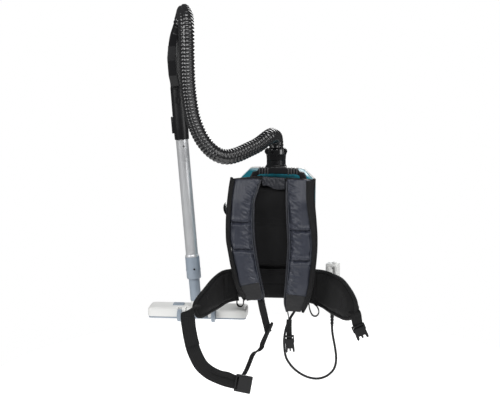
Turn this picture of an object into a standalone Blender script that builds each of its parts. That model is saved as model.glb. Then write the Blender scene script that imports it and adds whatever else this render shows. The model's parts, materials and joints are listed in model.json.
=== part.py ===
"""Cordless backpack vacuum cleaner with its hose, wand, floor nozzle, harness and remote control.

Metres, +Z up. +Y points away from the wearer and +X to the wearer's left. The origin is the middle of the
back pad's front face. Left and right in the names are the wearer's. The wand hangs at the wearer's right.
"""

from math import pi, radians

import bmesh
import bpy
from mathutils import Matrix, Vector

GAP = 0.0003  # between pieces that touch

# Pack
PACK_HALF = 0.113  # half of the housing's width
PACK_TOP = 0.175
PACK_FLOOR = -0.112
CHAMFER = 0.036  # the housing's sloping top corners
FRONT_Y = 0.0285  # the housing's wall on the wearer's side
RIM_Y = 0.125  # where the lid and the motor cover meet the housing
SLOPE_Z, SLOPE_Y = 0.142, 0.062  # the sloping top starts and ends here
WALL = 0.003
SHELF_Z = -0.043  # floor of the dust chamber
LID_DEPTH, COVER_DEPTH = 0.056, 0.036
HINGE_Y, HINGE_Z, PIN_RADIUS = 0.1318, 0.1695, 0.002
BASE_FLOOR, BASE_BACK = -0.190, 0.160
BAY_X, BAY_WIDTH, BAY_HEIGHT = 0.050, 0.081, 0.067
BATTERY_SIZE = (0.075, 0.113, 0.060)
NECK_Y = 0.092
NECK_RADIUS, NECK_BORE = 0.0275, 0.019
RING_FLOOR, RING_TOP = 0.2035, 0.237
MOTOR_Y = 0.076
HANDLE_X = 0.010  # the carry handle sits a little to the wearer's left

# Wand
PIPE_RADIUS, PIPE_WALL = 0.0177, 0.0015
COLLAR_RADIUS, LOWER_RADIUS = 0.0202, 0.0158
WAND_TOP = (-0.268, 0.060, 0.2622)  # lower end of the handle's sleeve
WAND_LEAN = radians(-4.46)
UPPER_LENGTH, COLLAR_LENGTH, WAND_LENGTH = 0.3335, 0.071, 0.471
NOZZLE_PITCH = radians(0.5)
NOZZLE_SIZE = (0.292, 0.074, 0.027)
NECK_DROP = 0.0285  # from the lower pipe's end to the nozzle's hinge
WHEEL_RADIUS, WHEEL_WIDTH, WHEEL_SPREAD = 0.018, 0.010, 0.050

# Harness
WEB_WIDE, WEB_NARROW, WEB_THICK = 0.038, 0.020, 0.0018
PAD_THICK, WING_THICK = 0.016, 0.014

# Cord and hose
HOSE_DIAMETER, CORD_DIAMETER = 0.042, 0.007
HOSE_ROUTE = (
    (0.000, 0.092, 0.2036), (0.000, 0.092, 0.222), (0.000, 0.0915, 0.240), (-0.001, 0.084, 0.259),
    (-0.003, 0.067, 0.272),
    (-0.009, 0.044, 0.277),
    (-0.020, 0.020, 0.272), (-0.045, -0.005, 0.2535), (-0.071, -0.025, 0.241), (-0.097, -0.045, 0.230),
    (-0.1225, -0.060, 0.2245), (-0.145, -0.067, 0.229), (-0.168, -0.070, 0.244), (-0.188, -0.073, 0.268),
    (-0.2035, -0.077, 0.298), (-0.216, -0.082, 0.336), (-0.223, -0.089, 0.384), (-0.226, -0.096, 0.432),
    (-0.2265, -0.103, 0.495), (-0.2265, -0.104, 0.535), (-0.228, -0.0975, 0.573), (-0.233, -0.077, 0.604),
    (-0.2405, -0.042, 0.619), (-0.2475, -0.008, 0.6205), (-0.2545, 0.021, 0.612), (-0.2606, 0.0363, 0.5976),
    (-0.26643, 0.04174, 0.58264),
)
CORD_ROUTE = (
    (0.1655, 0.0200, -0.2632), (0.1665, 0.0200, -0.2810), (0.1695, 0.0205, -0.3000),
    (0.1760, 0.0210, -0.3345),
    (0.1785, 0.0230, -0.3650), (0.1735, 0.0260, -0.3915), (0.1600, 0.0295, -0.4100),
    (0.1430, 0.0325, -0.4215),
    (0.1240, 0.0360, -0.4270), (0.1010, 0.0395, -0.4255), (0.0770, 0.0435, -0.4165),
    (0.0550, 0.0470, -0.4010),
    (0.0400, 0.0500, -0.3830), (0.0315, 0.0520, -0.3650), (0.0275, 0.0550, -0.3350),
    (0.0275, 0.0570, -0.3140),
    (0.0325, 0.0610, -0.2850), (0.0435, 0.0650, -0.2570), (0.0565, 0.0695, -0.2370),
    (0.0617, 0.0718, -0.2240), (0.0620, 0.0720, -0.2167),
)

LOOKS = {
    "teal_plastic": ((0.02, 0.30, 0.38), 0.38, 0.0),
    "white_plastic": ((0.80, 0.80, 0.78), 0.40, 0.0),
    "black_plastic": ((0.025, 0.025, 0.027), 0.45, 0.0),
    "gloss_black": ((0.012, 0.012, 0.013), 0.22, 0.0),
    "grey_plastic": ((0.33, 0.38, 0.43), 0.42, 0.0),
    "aluminium": ((0.60, 0.62, 0.65), 0.32, 1.0),
    "steel": ((0.45, 0.45, 0.46), 0.35, 1.0),
    "nylon": ((0.045, 0.052, 0.072), 0.50, 0.0),
    "mesh": ((0.010, 0.010, 0.010), 0.90, 0.0),
    "webbing": ((0.012, 0.012, 0.012), 0.80, 0.0),
    "rubber": ((0.015, 0.015, 0.015), 0.70, 0.0),
    "paper": ((0.72, 0.66, 0.54), 0.85, 0.0),
    "green_board": ((0.02, 0.14, 0.05), 0.50, 0.0),
    "bristle": ((0.05, 0.05, 0.05), 0.85, 0.0),
}


def clear_scene():
    for item in list(bpy.data.objects):
        bpy.data.objects.remove(item, do_unlink=True)


def look(name, finish):
    """A Principled material for one piece, from the named finish."""
    colour, roughness, metallic = LOOKS[finish]
    made = bpy.data.materials.new(name + "_" + finish)
    made.use_nodes = True
    shader = made.node_tree.nodes["Principled BSDF"]
    shader.inputs["Base Color"].default_value = (*colour, 1.0)
    shader.inputs["Roughness"].default_value = roughness
    shader.inputs["Metallic"].default_value = metallic
    made.diffuse_color = (*colour, 1.0)
    return made


def empty(name, place, turn=(0.0, 0.0, 0.0), parent=None):
    guide = bpy.data.objects.new(name, None)
    bpy.context.collection.objects.link(guide)
    guide.location = place
    guide.rotation_euler = turn
    guide.parent = parent
    bpy.context.view_layer.update()
    return guide


def piece(name, mesh, finish, place=(0.0, 0.0, 0.0), turn=(0.0, 0.0, 0.0), parent=None):
    """Turns a bmesh into a named object with its own material, rounded surfaces shaded smooth."""
    bmesh.ops.recalc_face_normals(mesh, faces=mesh.faces)
    data = bpy.data.meshes.new(name)
    mesh.to_mesh(data)
    mesh.free()
    data.shade_smooth()
    data.set_sharp_from_angle(angle=radians(35))
    made = bpy.data.objects.new(name, data)
    bpy.context.collection.objects.link(made)
    made.location = place
    made.rotation_euler = turn
    made.parent = parent
    if finish:
        data.materials.append(look(name, finish))
    return made


def shape(target, other, operation="DIFFERENCE"):
    """Cuts target with other, or joins or intersects them; other is only a guide."""
    other.hide_render = True
    other.display_type = "WIRE"
    change = target.modifiers.new(operation.lower(), "BOOLEAN")
    change.operation = operation
    change.object = other
    change.solver = "EXACT"
    return target


def block(size, centre=(0.0, 0.0, 0.0), bevel=0.0, segments=2):
    """A box with its edges rounded."""
    mesh = bmesh.new()
    bmesh.ops.create_cube(mesh, size=1.0, matrix=Matrix.Translation(centre) @ Matrix.Diagonal((*size, 1.0)))
    if bevel:
        bmesh.ops.bevel(mesh, geom=mesh.edges[:], offset=bevel, segments=segments, profile=0.5,
                        affect="EDGES", clamp_overlap=True)
    return mesh


def turned(profile, sides=24):
    """A solid of revolution about Z from (radius, height) points; a ring closes on itself."""
    mesh = bmesh.new()
    closed = all(radius > 0 for radius, _ in profile)
    points = [mesh.verts.new((radius, 0.0, height)) for radius, height in profile]
    pairs = list(zip(points, points[1:]))
    if closed:
        pairs.append((points[-1], points[0]))
    edges = [mesh.edges.new(pair) for pair in pairs]
    bmesh.ops.spin(mesh, geom=points + edges, cent=(0, 0, 0), axis=(0, 0, 1), angle=2 * pi,
                   steps=sides, use_merge=True)
    bmesh.ops.remove_doubles(mesh, verts=mesh.verts, dist=1e-6)
    return mesh


def rod(radius, low, high, sides=20, axis="Z", place=(0.0, 0.0, 0.0)):
    """A plain cylinder between two stations along an axis."""
    mesh = turned([(0.0, low), (radius, low), (radius, high), (0.0, high)], sides)
    turn = {"Z": Matrix.Identity(4), "X": Matrix.Rotation(pi / 2, 4, "Y"),
            "Y": Matrix.Rotation(-pi / 2, 4, "X")}
    bmesh.ops.transform(mesh, matrix=Matrix.Translation(place) @ turn[axis], verts=mesh.verts)
    return mesh


def prism(outline, low, high, axis="Y"):
    """An outline pushed along an axis. The outline is in XZ for Y, in YZ for X and in XY for Z."""
    mesh = bmesh.new()
    put = {
        "Y": lambda a, b: (a, low, b),
        "X": lambda a, b: (low, a, b),
        "Z": lambda a, b: (a, b, low),
    }[axis]
    step = {"Y": (0, high - low, 0), "X": (high - low, 0, 0), "Z": (0, 0, high - low)}[axis]
    face = mesh.faces.new([mesh.verts.new(put(a, b)) for a, b in outline])
    pushed = bmesh.ops.extrude_face_region(mesh, geom=[face], use_keep_orig=True)
    moved = [item for item in pushed["geom"] if isinstance(item, bmesh.types.BMVert)]
    bmesh.ops.translate(mesh, vec=step, verts=moved)
    return mesh


def smooth_route(route, count):
    """Evenly spaced points of the smooth curve through a route's own points."""
    points = [Vector(p) for p in route]
    ends = [2 * points[0] - points[1]] + points + [2 * points[-1] - points[-2]]
    dense = []
    for a, b, c, d in zip(ends, ends[1:], ends[2:], ends[3:]):
        for step in range(24):
            t = step / 24
            dense.append(0.5 * (2 * b + (c - a) * t + (2 * a - 5 * b + 4 * c - d) * t * t
                                + (3 * b - a - 3 * c + d) * t ** 3))
    dense.append(points[-1])
    lengths = [0.0]
    for a, b in zip(dense, dense[1:]):
        lengths.append(lengths[-1] + (b - a).length)
    result = []
    at = 0
    for n in range(count):
        want = lengths[-1] * n / (count - 1)
        while at < len(lengths) - 2 and lengths[at + 1] < want:
            at += 1
        share = (want - lengths[at]) / max(lengths[at + 1] - lengths[at], 1e-9)
        result.append(dense[at].lerp(dense[at + 1], min(share, 1.0)))
    return result


def round_cord(name, route, diameter, count, finish, resolution):
    """A tube with filled caps along a smooth route."""
    data = bpy.data.curves.new(name, "CURVE")
    data.dimensions = "3D"
    data.bevel_depth = diameter / 2
    data.bevel_resolution = resolution
    data.use_fill_caps = True
    spline = data.splines.new("POLY")
    spline.points.add(count - 1)
    for target, point in zip(spline.points, smooth_route(route, count)):
        target.co = (*point, 1.0)
    made = bpy.data.objects.new(name, data)
    bpy.context.collection.objects.link(made)
    data.materials.append(look(name, finish))
    return made


def thick_tube(route, radius, count, sides):
    """A solid round bar along a smooth route."""
    mesh = bmesh.new()
    points = smooth_route(route, count)
    rings = []
    for n, point in enumerate(points):
        along = points[min(n + 1, count - 1)] - points[max(n - 1, 0)]
        frame = Matrix.Translation(point) @ along.to_track_quat("Z", "Y").to_matrix().to_4x4()
        capped = n in (0, count - 1)
        ring = set(bmesh.ops.create_circle(mesh, cap_ends=capped, segments=sides, radius=radius,
                                           matrix=frame)["verts"])
        rings.append([e for e in mesh.edges if e.verts[0] in ring and e.verts[1] in ring])
    for first, second in zip(rings, rings[1:]):
        bmesh.ops.bridge_loops(mesh, edges=first + second)
    return mesh


def lofted(stations, thick, edge=0.0):
    """A padded strip through pairs of edge points, rounded along both edges."""
    mesh = bmesh.new()
    pairs = [(Vector(a), Vector(b)) for a, b in stations]
    rings = []
    for n, (outer, inner) in enumerate(pairs):
        before = pairs[max(n - 1, 0)]
        after = pairs[min(n + 1, len(pairs) - 1)]
        along = (after[0] + after[1] - before[0] - before[1]).normalized()
        across = (inner - outer)
        width = across.length
        across.normalize()
        normal = along.cross(across).normalized() * thick / 2
        round_off = min(edge, width / 3)
        corners = [
            outer + across * round_off + normal, inner - across * round_off + normal,
            inner + normal * 0.35, inner - normal * 0.35,
            inner - across * round_off - normal, outer + across * round_off - normal,
            outer - normal * 0.35, outer + normal * 0.35,
        ]
        rings.append([mesh.verts.new(c) for c in corners])
    for first, second in zip(rings, rings[1:]):
        for k in range(8):
            mesh.faces.new((first[k], first[(k + 1) % 8], second[(k + 1) % 8], second[k]))
    mesh.faces.new(rings[0])
    mesh.faces.new(list(reversed(rings[-1])))
    return mesh


def ribbon(name, route, width, across, parent=None, count=14, thick=WEB_THICK, finish="webbing"):
    """Flat webbing along a smooth route; across is the direction its width turns towards."""
    mesh = bmesh.new()
    points = smooth_route(route, count)
    wide = Vector(across)
    rings = []
    for n, point in enumerate(points):
        along = (points[min(n + 1, count - 1)] - points[max(n - 1, 0)]).normalized()
        side = (wide - along * wide.dot(along)).normalized() * width / 2
        normal = along.cross(side).normalized() * thick / 2
        rings.append([mesh.verts.new(point + a * side + b * normal) for a,
                      b in ((1, 1), (-1, 1), (-1, -1), (1, -1))])
    for first, second in zip(rings, rings[1:]):
        for k in range(4):
            mesh.faces.new((first[k], first[(k + 1) % 4], second[(k + 1) % 4], second[k]))
    mesh.faces.new(rings[0])
    mesh.faces.new(list(reversed(rings[-1])))
    return piece(name, mesh, finish, parent=parent)


def pack_outline(half, top, floor, chamfer):
    """The housing's outline seen from the wearer: a rectangle with sloping, slightly rounded top corners."""
    soft = 0.18 * chamfer
    return [
        (-half, floor), (half, floor), (half, top - chamfer - soft),
        (half - soft * 0.3, top - chamfer + soft * 0.3),
        (half - chamfer + soft * 0.3, top - soft * 0.3), (half - chamfer - soft, top),
        (-half + chamfer + soft, top), (-half + chamfer - soft * 0.3, top - soft * 0.3),
        (-half + soft * 0.3, top - chamfer + soft * 0.3), (-half, top - chamfer - soft),
    ]


def housing():
    """The teal tub: one shelf splits it into the dust chamber above and the motor chamber below."""
    tub = piece("main_housing", prism(pack_outline(PACK_HALF, PACK_TOP, PACK_FLOOR, CHAMFER), FRONT_Y,
                                      RIM_Y),
                "teal_plastic")
    side = [(FRONT_Y - 0.01, PACK_FLOOR - 0.01), (RIM_Y + 0.01, PACK_FLOOR - 0.01),
            (RIM_Y + 0.01, PACK_TOP + 0.01),
            (SLOPE_Y + 0.014, PACK_TOP + 0.01), (FRONT_Y, SLOPE_Z), (FRONT_Y - 0.01, SLOPE_Z - 0.01)]
    shape(tub, piece("housing_side", prism(side, -0.2, 0.2, "X"), None), "INTERSECT")
    room = piece("dust_room", prism(pack_outline(PACK_HALF - WALL, PACK_TOP - WALL, SHELF_Z + WALL,
                                                 CHAMFER - 0.001),
                                    FRONT_Y + WALL, RIM_Y + 0.01), None)
    slanted = [(FRONT_Y - 0.01, SHELF_Z - 0.02), (RIM_Y + 0.02, SHELF_Z - 0.02), (RIM_Y + 0.02, PACK_TOP),
               (SLOPE_Y + 0.017, PACK_TOP), (FRONT_Y, SLOPE_Z - 0.004)]
    shape(room, piece("room_side", prism(slanted, -0.2, 0.2, "X"), None), "INTERSECT")
    shape(tub, room)
    low = PACK_FLOOR + WALL
    shape(tub, piece("motor_room", block((2 * PACK_HALF - 2 * WALL, RIM_Y - FRONT_Y, SHELF_Z - low),
                                         (0, (FRONT_Y + RIM_Y) / 2 + WALL, (SHELF_Z + low) / 2)), None))
    shape(tub, piece("filter_hole", rod(0.030, SHELF_Z - 0.01, SHELF_Z + 0.01, place=(0, MOTOR_Y, 0)),
                     None))
    shape(tub, piece("inlet_hole", rod(NECK_BORE + 0.004, 0.12, 0.2, place=(0, NECK_Y, 0)), None))
    for n in range(4):
        slot = block((0.3, 0.050, 0.005), (0, 0.078, -0.092 + n * 0.011))
        shape(tub, piece(f"side_slot_{n}", slot, None))
    return tub


def lid():
    """The white lid, its seal, hinge pin and latch; it swings about the pin at its top."""
    back = RIM_Y + 0.0006
    axis = empty("lid_axis", (0, HINGE_Y, HINGE_Z))
    mesh = prism(pack_outline(PACK_HALF, PACK_TOP + 0.001, SHELF_Z, CHAMFER), back - HINGE_Y,
                 back + LID_DEPTH - HINGE_Y)
    bmesh.ops.translate(mesh, vec=(0, 0, -HINGE_Z), verts=mesh.verts)
    outer = [e for e in mesh.edges if all(v.co.y > 0.04 for v in e.verts)]
    bmesh.ops.bevel(mesh, geom=outer, offset=0.018, segments=3, profile=0.5, affect="EDGES",
                    clamp_overlap=True)
    top = [e for e in mesh.edges if all(v.co.y < 0 and v.co.z > 0.003 for v in e.verts)]
    bmesh.ops.bevel(mesh, geom=top, offset=0.0058, segments=3, profile=0.5, affect="EDGES",
                    clamp_overlap=True)
    cover = piece("dust_lid", mesh, "white_plastic", parent=axis)
    room = prism(pack_outline(PACK_HALF - 0.009, PACK_TOP - 0.016, SHELF_Z + 0.009, CHAMFER), -0.02, 0.040)
    bmesh.ops.translate(room, vec=(0, 0, -HINGE_Z), verts=room.verts)
    shape(cover, piece("lid_room", room, None, parent=axis))
    shape(cover, piece("pin_hole", rod(PIN_RADIUS + 0.0003, -0.073, 0.073, 12, "X"), None, parent=axis))
    for side in (-1, 1):
        shape(cover, piece(f"knuckle_gap_{side}",
                           block((0.0126, 0.015, 0.012), (side * 0.064, -0.001, 0.0015)),
                           None, parent=axis))
    piece("lid_hinge_pin", rod(PIN_RADIUS, -0.072, 0.072, 12, "X"), "steel", parent=axis)
    frame = prism(pack_outline(PACK_HALF - WALL - 0.0006, PACK_TOP - WALL - 0.0106,
                               SHELF_Z + WALL + 0.0006, CHAMFER),
                  RIM_Y - 0.003 - HINGE_Y, RIM_Y + 0.0003 - HINGE_Y)
    bmesh.ops.translate(frame, vec=(0, 0, -HINGE_Z), verts=frame.verts)
    seal = piece("lid_seal", frame, "rubber", parent=axis)
    hole = prism(pack_outline(PACK_HALF - WALL - 0.006, PACK_TOP - WALL - 0.016, SHELF_Z + WALL + 0.006,
                              CHAMFER),
                 -0.03, 0.01)
    bmesh.ops.translate(hole, vec=(0, 0, -HINGE_Z), verts=hole.verts)
    shape(seal, piece("seal_hole", hole, None, parent=axis))
    latch_y, latch_z = RIM_Y + LID_DEPTH + 0.0045, SHELF_Z + 0.032
    hook = [(-0.0030, 0.0010), (-0.0008, 0.0040), (0.0035, 0.0040), (0.0035, -0.034), (-0.0005, -0.050),
            (-0.0150, -0.050),
            (-0.0150, -0.045), (-0.0050, -0.044), (-0.0030, -0.034)]
    mesh = prism(hook, -0.019, 0.019, "X")
    piece("lid_latch", mesh, "black_plastic", place=(0, latch_y, latch_z))


def hinge_knuckles(tub):
    """Two knuckles on the housing that hold the lid's hinge pin."""
    for side in (-1, 1):
        root = block((0.012, 0.0140, 0.0080), (side * 0.064, HINGE_Y - 0.0080, HINGE_Z))
        shape(tub, piece(f"knuckle_root_{side}", root, None), "UNION")
        eye = rod(0.0042, side * 0.064 - 0.006, side * 0.064 + 0.006, 16, "X", (0, HINGE_Y, HINGE_Z))
        shape(tub, piece(f"knuckle_eye_{side}", eye, None), "UNION")
    hole = piece("knuckle_hole", rod(PIN_RADIUS + 0.0003, -0.08, 0.08, 12, "X", (0, HINGE_Y, HINGE_Z)),
                 None)
    shape(tub, hole)


def motor_cover():
    """The lower rear panel, with outlet slots."""
    back = RIM_Y + 0.0006
    mesh = block((2 * PACK_HALF, COVER_DEPTH, SHELF_Z - 0.001 - PACK_FLOOR),
                 (0, back + COVER_DEPTH / 2, (SHELF_Z - 0.001 + PACK_FLOOR) / 2))
    outer = [e for e in mesh.edges if all(v.co.y > back + 0.01 for v in e.verts)]
    bmesh.ops.bevel(mesh, geom=outer, offset=0.010, segments=3, profile=0.5, affect="EDGES",
                    clamp_overlap=True)
    cover = piece("motor_cover", mesh, "black_plastic")
    shape(cover, piece("cover_room", block((0.210, COVER_DEPTH, 0.055),
                                           (0, back + COVER_DEPTH / 2 - 0.004, -0.078)),
                       None))
    for n in range(5):
        slot = block((0.004, 0.03, 0.036), (0.062 + 0.0085 * n, back + COVER_DEPTH, -0.082))
        shape(cover, piece(f"outlet_slot_{n}", slot, None))
    return cover


def base():
    """The black base with two battery bays open at the back."""
    mesh = block((2 * PACK_HALF, BASE_BACK - FRONT_Y, PACK_FLOOR - 0.0006 - BASE_FLOOR),
                 (0, (FRONT_Y + BASE_BACK) / 2, (PACK_FLOOR - 0.0006 + BASE_FLOOR) / 2))
    edges = [e for e in mesh.edges if abs(e.verts[0].co.z - e.verts[1].co.z) > 0.01
             or all(v.co.z < BASE_FLOOR + 0.001 for v in e.verts)]
    bmesh.ops.bevel(mesh, geom=edges, offset=0.008, segments=3, profile=0.5, affect="EDGES",
                    clamp_overlap=True)
    body = piece("base_housing", mesh, "black_plastic")
    mid = BASE_FLOOR + 0.004 + BAY_HEIGHT / 2
    for side, name in ((1, "left"), (-1, "right")):
        bay = block((BAY_WIDTH, 0.130, BAY_HEIGHT), (side * BAY_X, 0.040 + 0.065, mid))
        shape(body, piece("bay_" + name, bay, None))
        battery(name, side * BAY_X, mid)
    shape(body, piece("foot_plate", block((0.190, 0.062, 0.0060), (0, 0.118, BASE_FLOOR - 0.0005)), None),
          "UNION")
    return body


def battery(name, x, z):
    """A slide-in battery with its release button on the outer end."""
    guide = empty("battery_axis_" + name, (x, 0.042, z))
    mesh = block(BATTERY_SIZE, (0, BATTERY_SIZE[1] / 2, -0.002), 0.005, 2)
    pack = piece("battery_" + name, mesh, "black_plastic", parent=guide)
    shape(pack, piece("button_well_" + name, block((0.0226, 0.012, 0.0126), (0, BATTERY_SIZE[1], 0.012)),
                      None,
                      parent=guide))
    for side in (-1, 1):
        groove = block((0.003, 0.09, 0.005), (side * 0.0375, 0.045, 0.020))
        shape(pack, piece(f"rail_groove_{name}_{side}", groove, None, parent=guide))
    button = block((0.022, 0.008, 0.012), (0, 0.0, 0), 0.0015, 2)
    piece("battery_button_" + name, button, "grey_plastic", place=(0, BATTERY_SIZE[1] + 0.0006, 0.012),
          parent=guide)


def inner_parts():
    """Dust bag, filter, motor, impeller and circuit board."""
    bag = block((0.172, 0.100, 0.150), (0, 0.104, 0.062), 0.022, 3)
    piece("dust_bag", bag, "paper")
    piece("filter_cartridge", block((0.150, 0.084, 0.018), (0, MOTOR_Y, SHELF_Z + WALL + 0.0095), 0.004,
                                    2), "paper")
    motor = turned([(0.0, -0.1085), (0.034, -0.1085), (0.036, -0.1065), (0.036, -0.068), (0.030, -0.065),
                    (0.009, -0.065), (0.009, -0.0635), (0.0, -0.0635)], 28)
    piece("motor", motor, "steel", place=(0, MOTOR_Y, 0))
    fan = piece("impeller", turned([(0.0, 0.0), (0.033, 0.0), (0.033, 0.002), (0.012, 0.006),
                                    (0.008, 0.012),
                                    (0.0, 0.012)], 24), "grey_plastic", place=(0, MOTOR_Y, -0.0627))
    for n in range(8):
        angle = n * pi / 4
        blade = block((0.020, 0.0012, 0.011), (0, 0, 0))
        outward = Matrix.Translation((0.021, 0.004, 0.0065)) @ Matrix.Rotation(0.5, 4, "Z")
        turn = Matrix.Rotation(angle, 4, "Z") @ outward
        bmesh.ops.transform(blade, matrix=turn, verts=blade.verts)
        shape(fan, piece(f"blade_{n}", blade, None, parent=fan), "UNION")
    board = piece("circuit_board", block((0.050, 0.002, 0.045), (0.080, 0.045, -0.077)), "green_board")
    for n, (size, at) in enumerate((((0.012, 0.010, 0.014), (0.070, 0.050, -0.068)),
                                    ((0.010, 0.008, 0.010), (0.090, 0.049, -0.085)),
                                    ((0.014, 0.005, 0.008), (0.070, 0.0475, -0.090)))):
        shape(board, piece(f"component_{n}", block(size, at), None), "UNION")


def inlet():
    """Neck on the housing, and the turning lock ring with two ears that holds the hose's end."""
    neck = turned([(NECK_BORE + 0.0035, 0.150), (NECK_BORE + 0.0035, PACK_TOP + 0.0006 + 0.001),
                   (0.0300, PACK_TOP + 0.0006),
                   (0.0315, 0.184), (NECK_RADIUS, 0.190), (NECK_RADIUS, RING_FLOOR - GAP),
                   (NECK_BORE, RING_FLOOR - GAP), (NECK_BORE, 0.150)], 28)
    piece("inlet_neck", neck, "black_plastic", place=(0, NECK_Y, 0))
    ring = piece("hose_lock_ring", turned([(NECK_RADIUS, RING_FLOOR),
                                           (NECK_RADIUS + 0.0008, RING_FLOOR + 0.012),
                                           (NECK_RADIUS + 0.0022, RING_TOP - 0.016),
                                           (NECK_RADIUS + 0.0015, RING_TOP - 0.002),
                                           (NECK_RADIUS - 0.001, RING_TOP), (0.0218, RING_TOP),
                                           (0.0218, RING_FLOOR)], 28),
                 "gloss_black", place=(0, NECK_Y, 0))
    for side in (-1, 1):
        ear = rod(0.0095, -0.004, 0.004, 16, "Y", (side * 0.0230, 0, RING_TOP - 0.008))
        bmesh.ops.transform(ear, matrix=Matrix.Translation((0, -0.0150, 0)), verts=ear.verts)
        shape(ring, piece(f"ring_ear_{side}", ear, None, parent=ring), "UNION")
    bore = rod(0.0218, RING_FLOOR - 0.01, RING_TOP + 0.01, 28)
    shape(ring, piece("ring_bore", bore, None, parent=ring))


def carry_handle():
    """An arched grip across the top of the housing's wearer side, with two groups of ribs."""
    arch = [(-0.080, 0.150), (-0.066, 0.150), (-0.058, 0.166), (-0.050, 0.1705), (0.050, 0.1705),
            (0.058, 0.166),
            (0.066, 0.150), (0.080, 0.150), (0.079, 0.163), (0.072, 0.176), (0.060, 0.1785), (0.053, 0.187),
            (0.026, 0.188), (0.022, 0.191), (-0.022, 0.191), (-0.026, 0.188), (-0.053, 0.187),
            (-0.060, 0.1785),
            (-0.072, 0.176), (-0.079, 0.163)]
    mesh = prism(arch, -0.009, 0.009)
    bmesh.ops.bevel(mesh, geom=[e for e in mesh.edges if abs(e.verts[0].co.y - e.verts[1].co.y) < 1e-6],
                    offset=0.003, segments=2, profile=0.5, affect="EDGES", clamp_overlap=True)
    grip = piece("carry_handle", mesh, "black_plastic", place=(HANDLE_X, FRONT_Y - 0.0070, 0))
    foot = block((0.158, 0.008, 0.0100), (0, 0.001, 0.1473))
    shape(grip, piece("handle_foot", foot, None, parent=grip), "UNION")
    return grip


def accessory_clip():
    """A C-shaped spring clip on the wearer's right side of the housing, for a small tool."""
    ring = turned([(0.0155, -0.012), (0.0155, 0.012), (0.0120, 0.012), (0.0120, -0.012)], 20)
    clip = piece("accessory_clip", ring, "black_plastic", place=(-PACK_HALF - 0.0155, 0.060, 0.068),
                 turn=(pi / 2, 0, 0))
    shape(clip, piece("clip_base", block((0.006, 0.020, 0.024), (0.0122, 0.004, 0)), None, parent=clip),
          "UNION")
    shape(clip, piece("clip_mouth", block((0.014, 0.016, 0.05), (-0.006, 0.012, 0)), None, parent=clip))
    return clip


def back_frame():
    """The harness plate behind the pads, with slots for the straps."""
    plate = block((0.190, 0.0110, 0.320), (0, 0.0225, -0.018), 0.003, 1)
    frame = piece("back_frame", plate, "black_plastic")
    for side in (-1, 1):
        for n in range(4):
            slot = block((0.046, 0.04, 0.006), (side * 0.050, 0.0225, 0.105 - 0.024 * n))
            shape(frame, piece(f"strap_slot_{side}_{n}", slot, None))
    return frame


def pads():
    """Back pad, lumbar pad, shoulder pads and the yoke between them."""
    side = [(0.0165, -0.094), (0.0, -0.094), (0.0, 0.032), (0.008, 0.040), (0.008, 0.140), (0.0165, 0.140)]
    mesh = prism([(y - 0.0003, z) for y, z in side], -0.092, 0.092, "X")
    bmesh.ops.bevel(mesh, geom=[e for e in mesh.edges if all(v.co.y < 0.012 for v in e.verts)],
                    offset=0.003,
                    segments=2, profile=0.5, affect="EDGES", clamp_overlap=True)
    piece("back_pad", mesh, "mesh")
    piece("lumbar_pad", block((0.196, 0.018, 0.091), (0, 0.0070, -0.1405), 0.006, 2), "mesh")
    right = [((-0.1187, 0.003, 0.1555), (-0.0350, 0.003, 0.1650)),
             ((-0.1230, -0.010, 0.128), (-0.0450, -0.010, 0.128)),
             ((-0.1250, -0.023, 0.100), (-0.0535, -0.023, 0.100)),
             ((-0.1280, -0.034, 0.045), (-0.0545, -0.034, 0.045)),
             ((-0.1270, -0.042, -0.006), (-0.0520, -0.042, -0.006)),
             ((-0.1165, -0.047, -0.065), (-0.0435, -0.047, -0.065)),
             ((-0.1020, -0.044, -0.132), (-0.0310, -0.044, -0.132)),
             ((-0.0900, -0.036, -0.162), (-0.0250, -0.036, -0.162)),
             ((-0.0800, -0.030, -0.179), (-0.0270, -0.030, -0.179))]
    left = [((0.0335, 0.003, 0.1600), (0.1110, 0.003, 0.1560)),
            ((0.0345, -0.010, 0.130), (0.1095, -0.010, 0.130)),
            ((0.0345, -0.023, 0.102), (0.1095, -0.023, 0.102)),
            ((0.0385, -0.036, 0.028), (0.1170, -0.036, 0.028)),
            ((0.0420, -0.042, -0.018), (0.1190, -0.042, -0.018)),
            ((0.0395, -0.047, -0.064), (0.1165, -0.047, -0.064)),
            ((0.0350, -0.044, -0.130), (0.1085, -0.044, -0.130)),
            ((0.0320, -0.038, -0.174), (0.0990, -0.038, -0.174)),
            ((0.0330, -0.031, -0.200), (0.0900, -0.031, -0.200)),
            ((0.0380, -0.029, -0.211), (0.0830, -0.029, -0.211))]
    piece("shoulder_pad_right", lofted(right, PAD_THICK, 0.008), "nylon")
    piece("shoulder_pad_left", lofted(left, PAD_THICK, 0.008), "nylon")
    yoke = [(-0.0342, 0.166), (-0.0340, 0.138), (-0.018, 0.137), (-0.004, 0.130), (0.012, 0.128),
            (0.026, 0.128),
            (0.0325, 0.130), (0.0325, 0.1625)]
    mesh = prism(yoke, -0.004, 0.005)
    bmesh.ops.bevel(mesh, geom=[e for e in mesh.edges if abs(e.verts[0].co.y - e.verts[1].co.y) < 1e-6],
                    offset=0.0015, segments=1, profile=0.5, affect="EDGES", clamp_overlap=True)
    piece("harness_yoke", mesh, "nylon")


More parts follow.
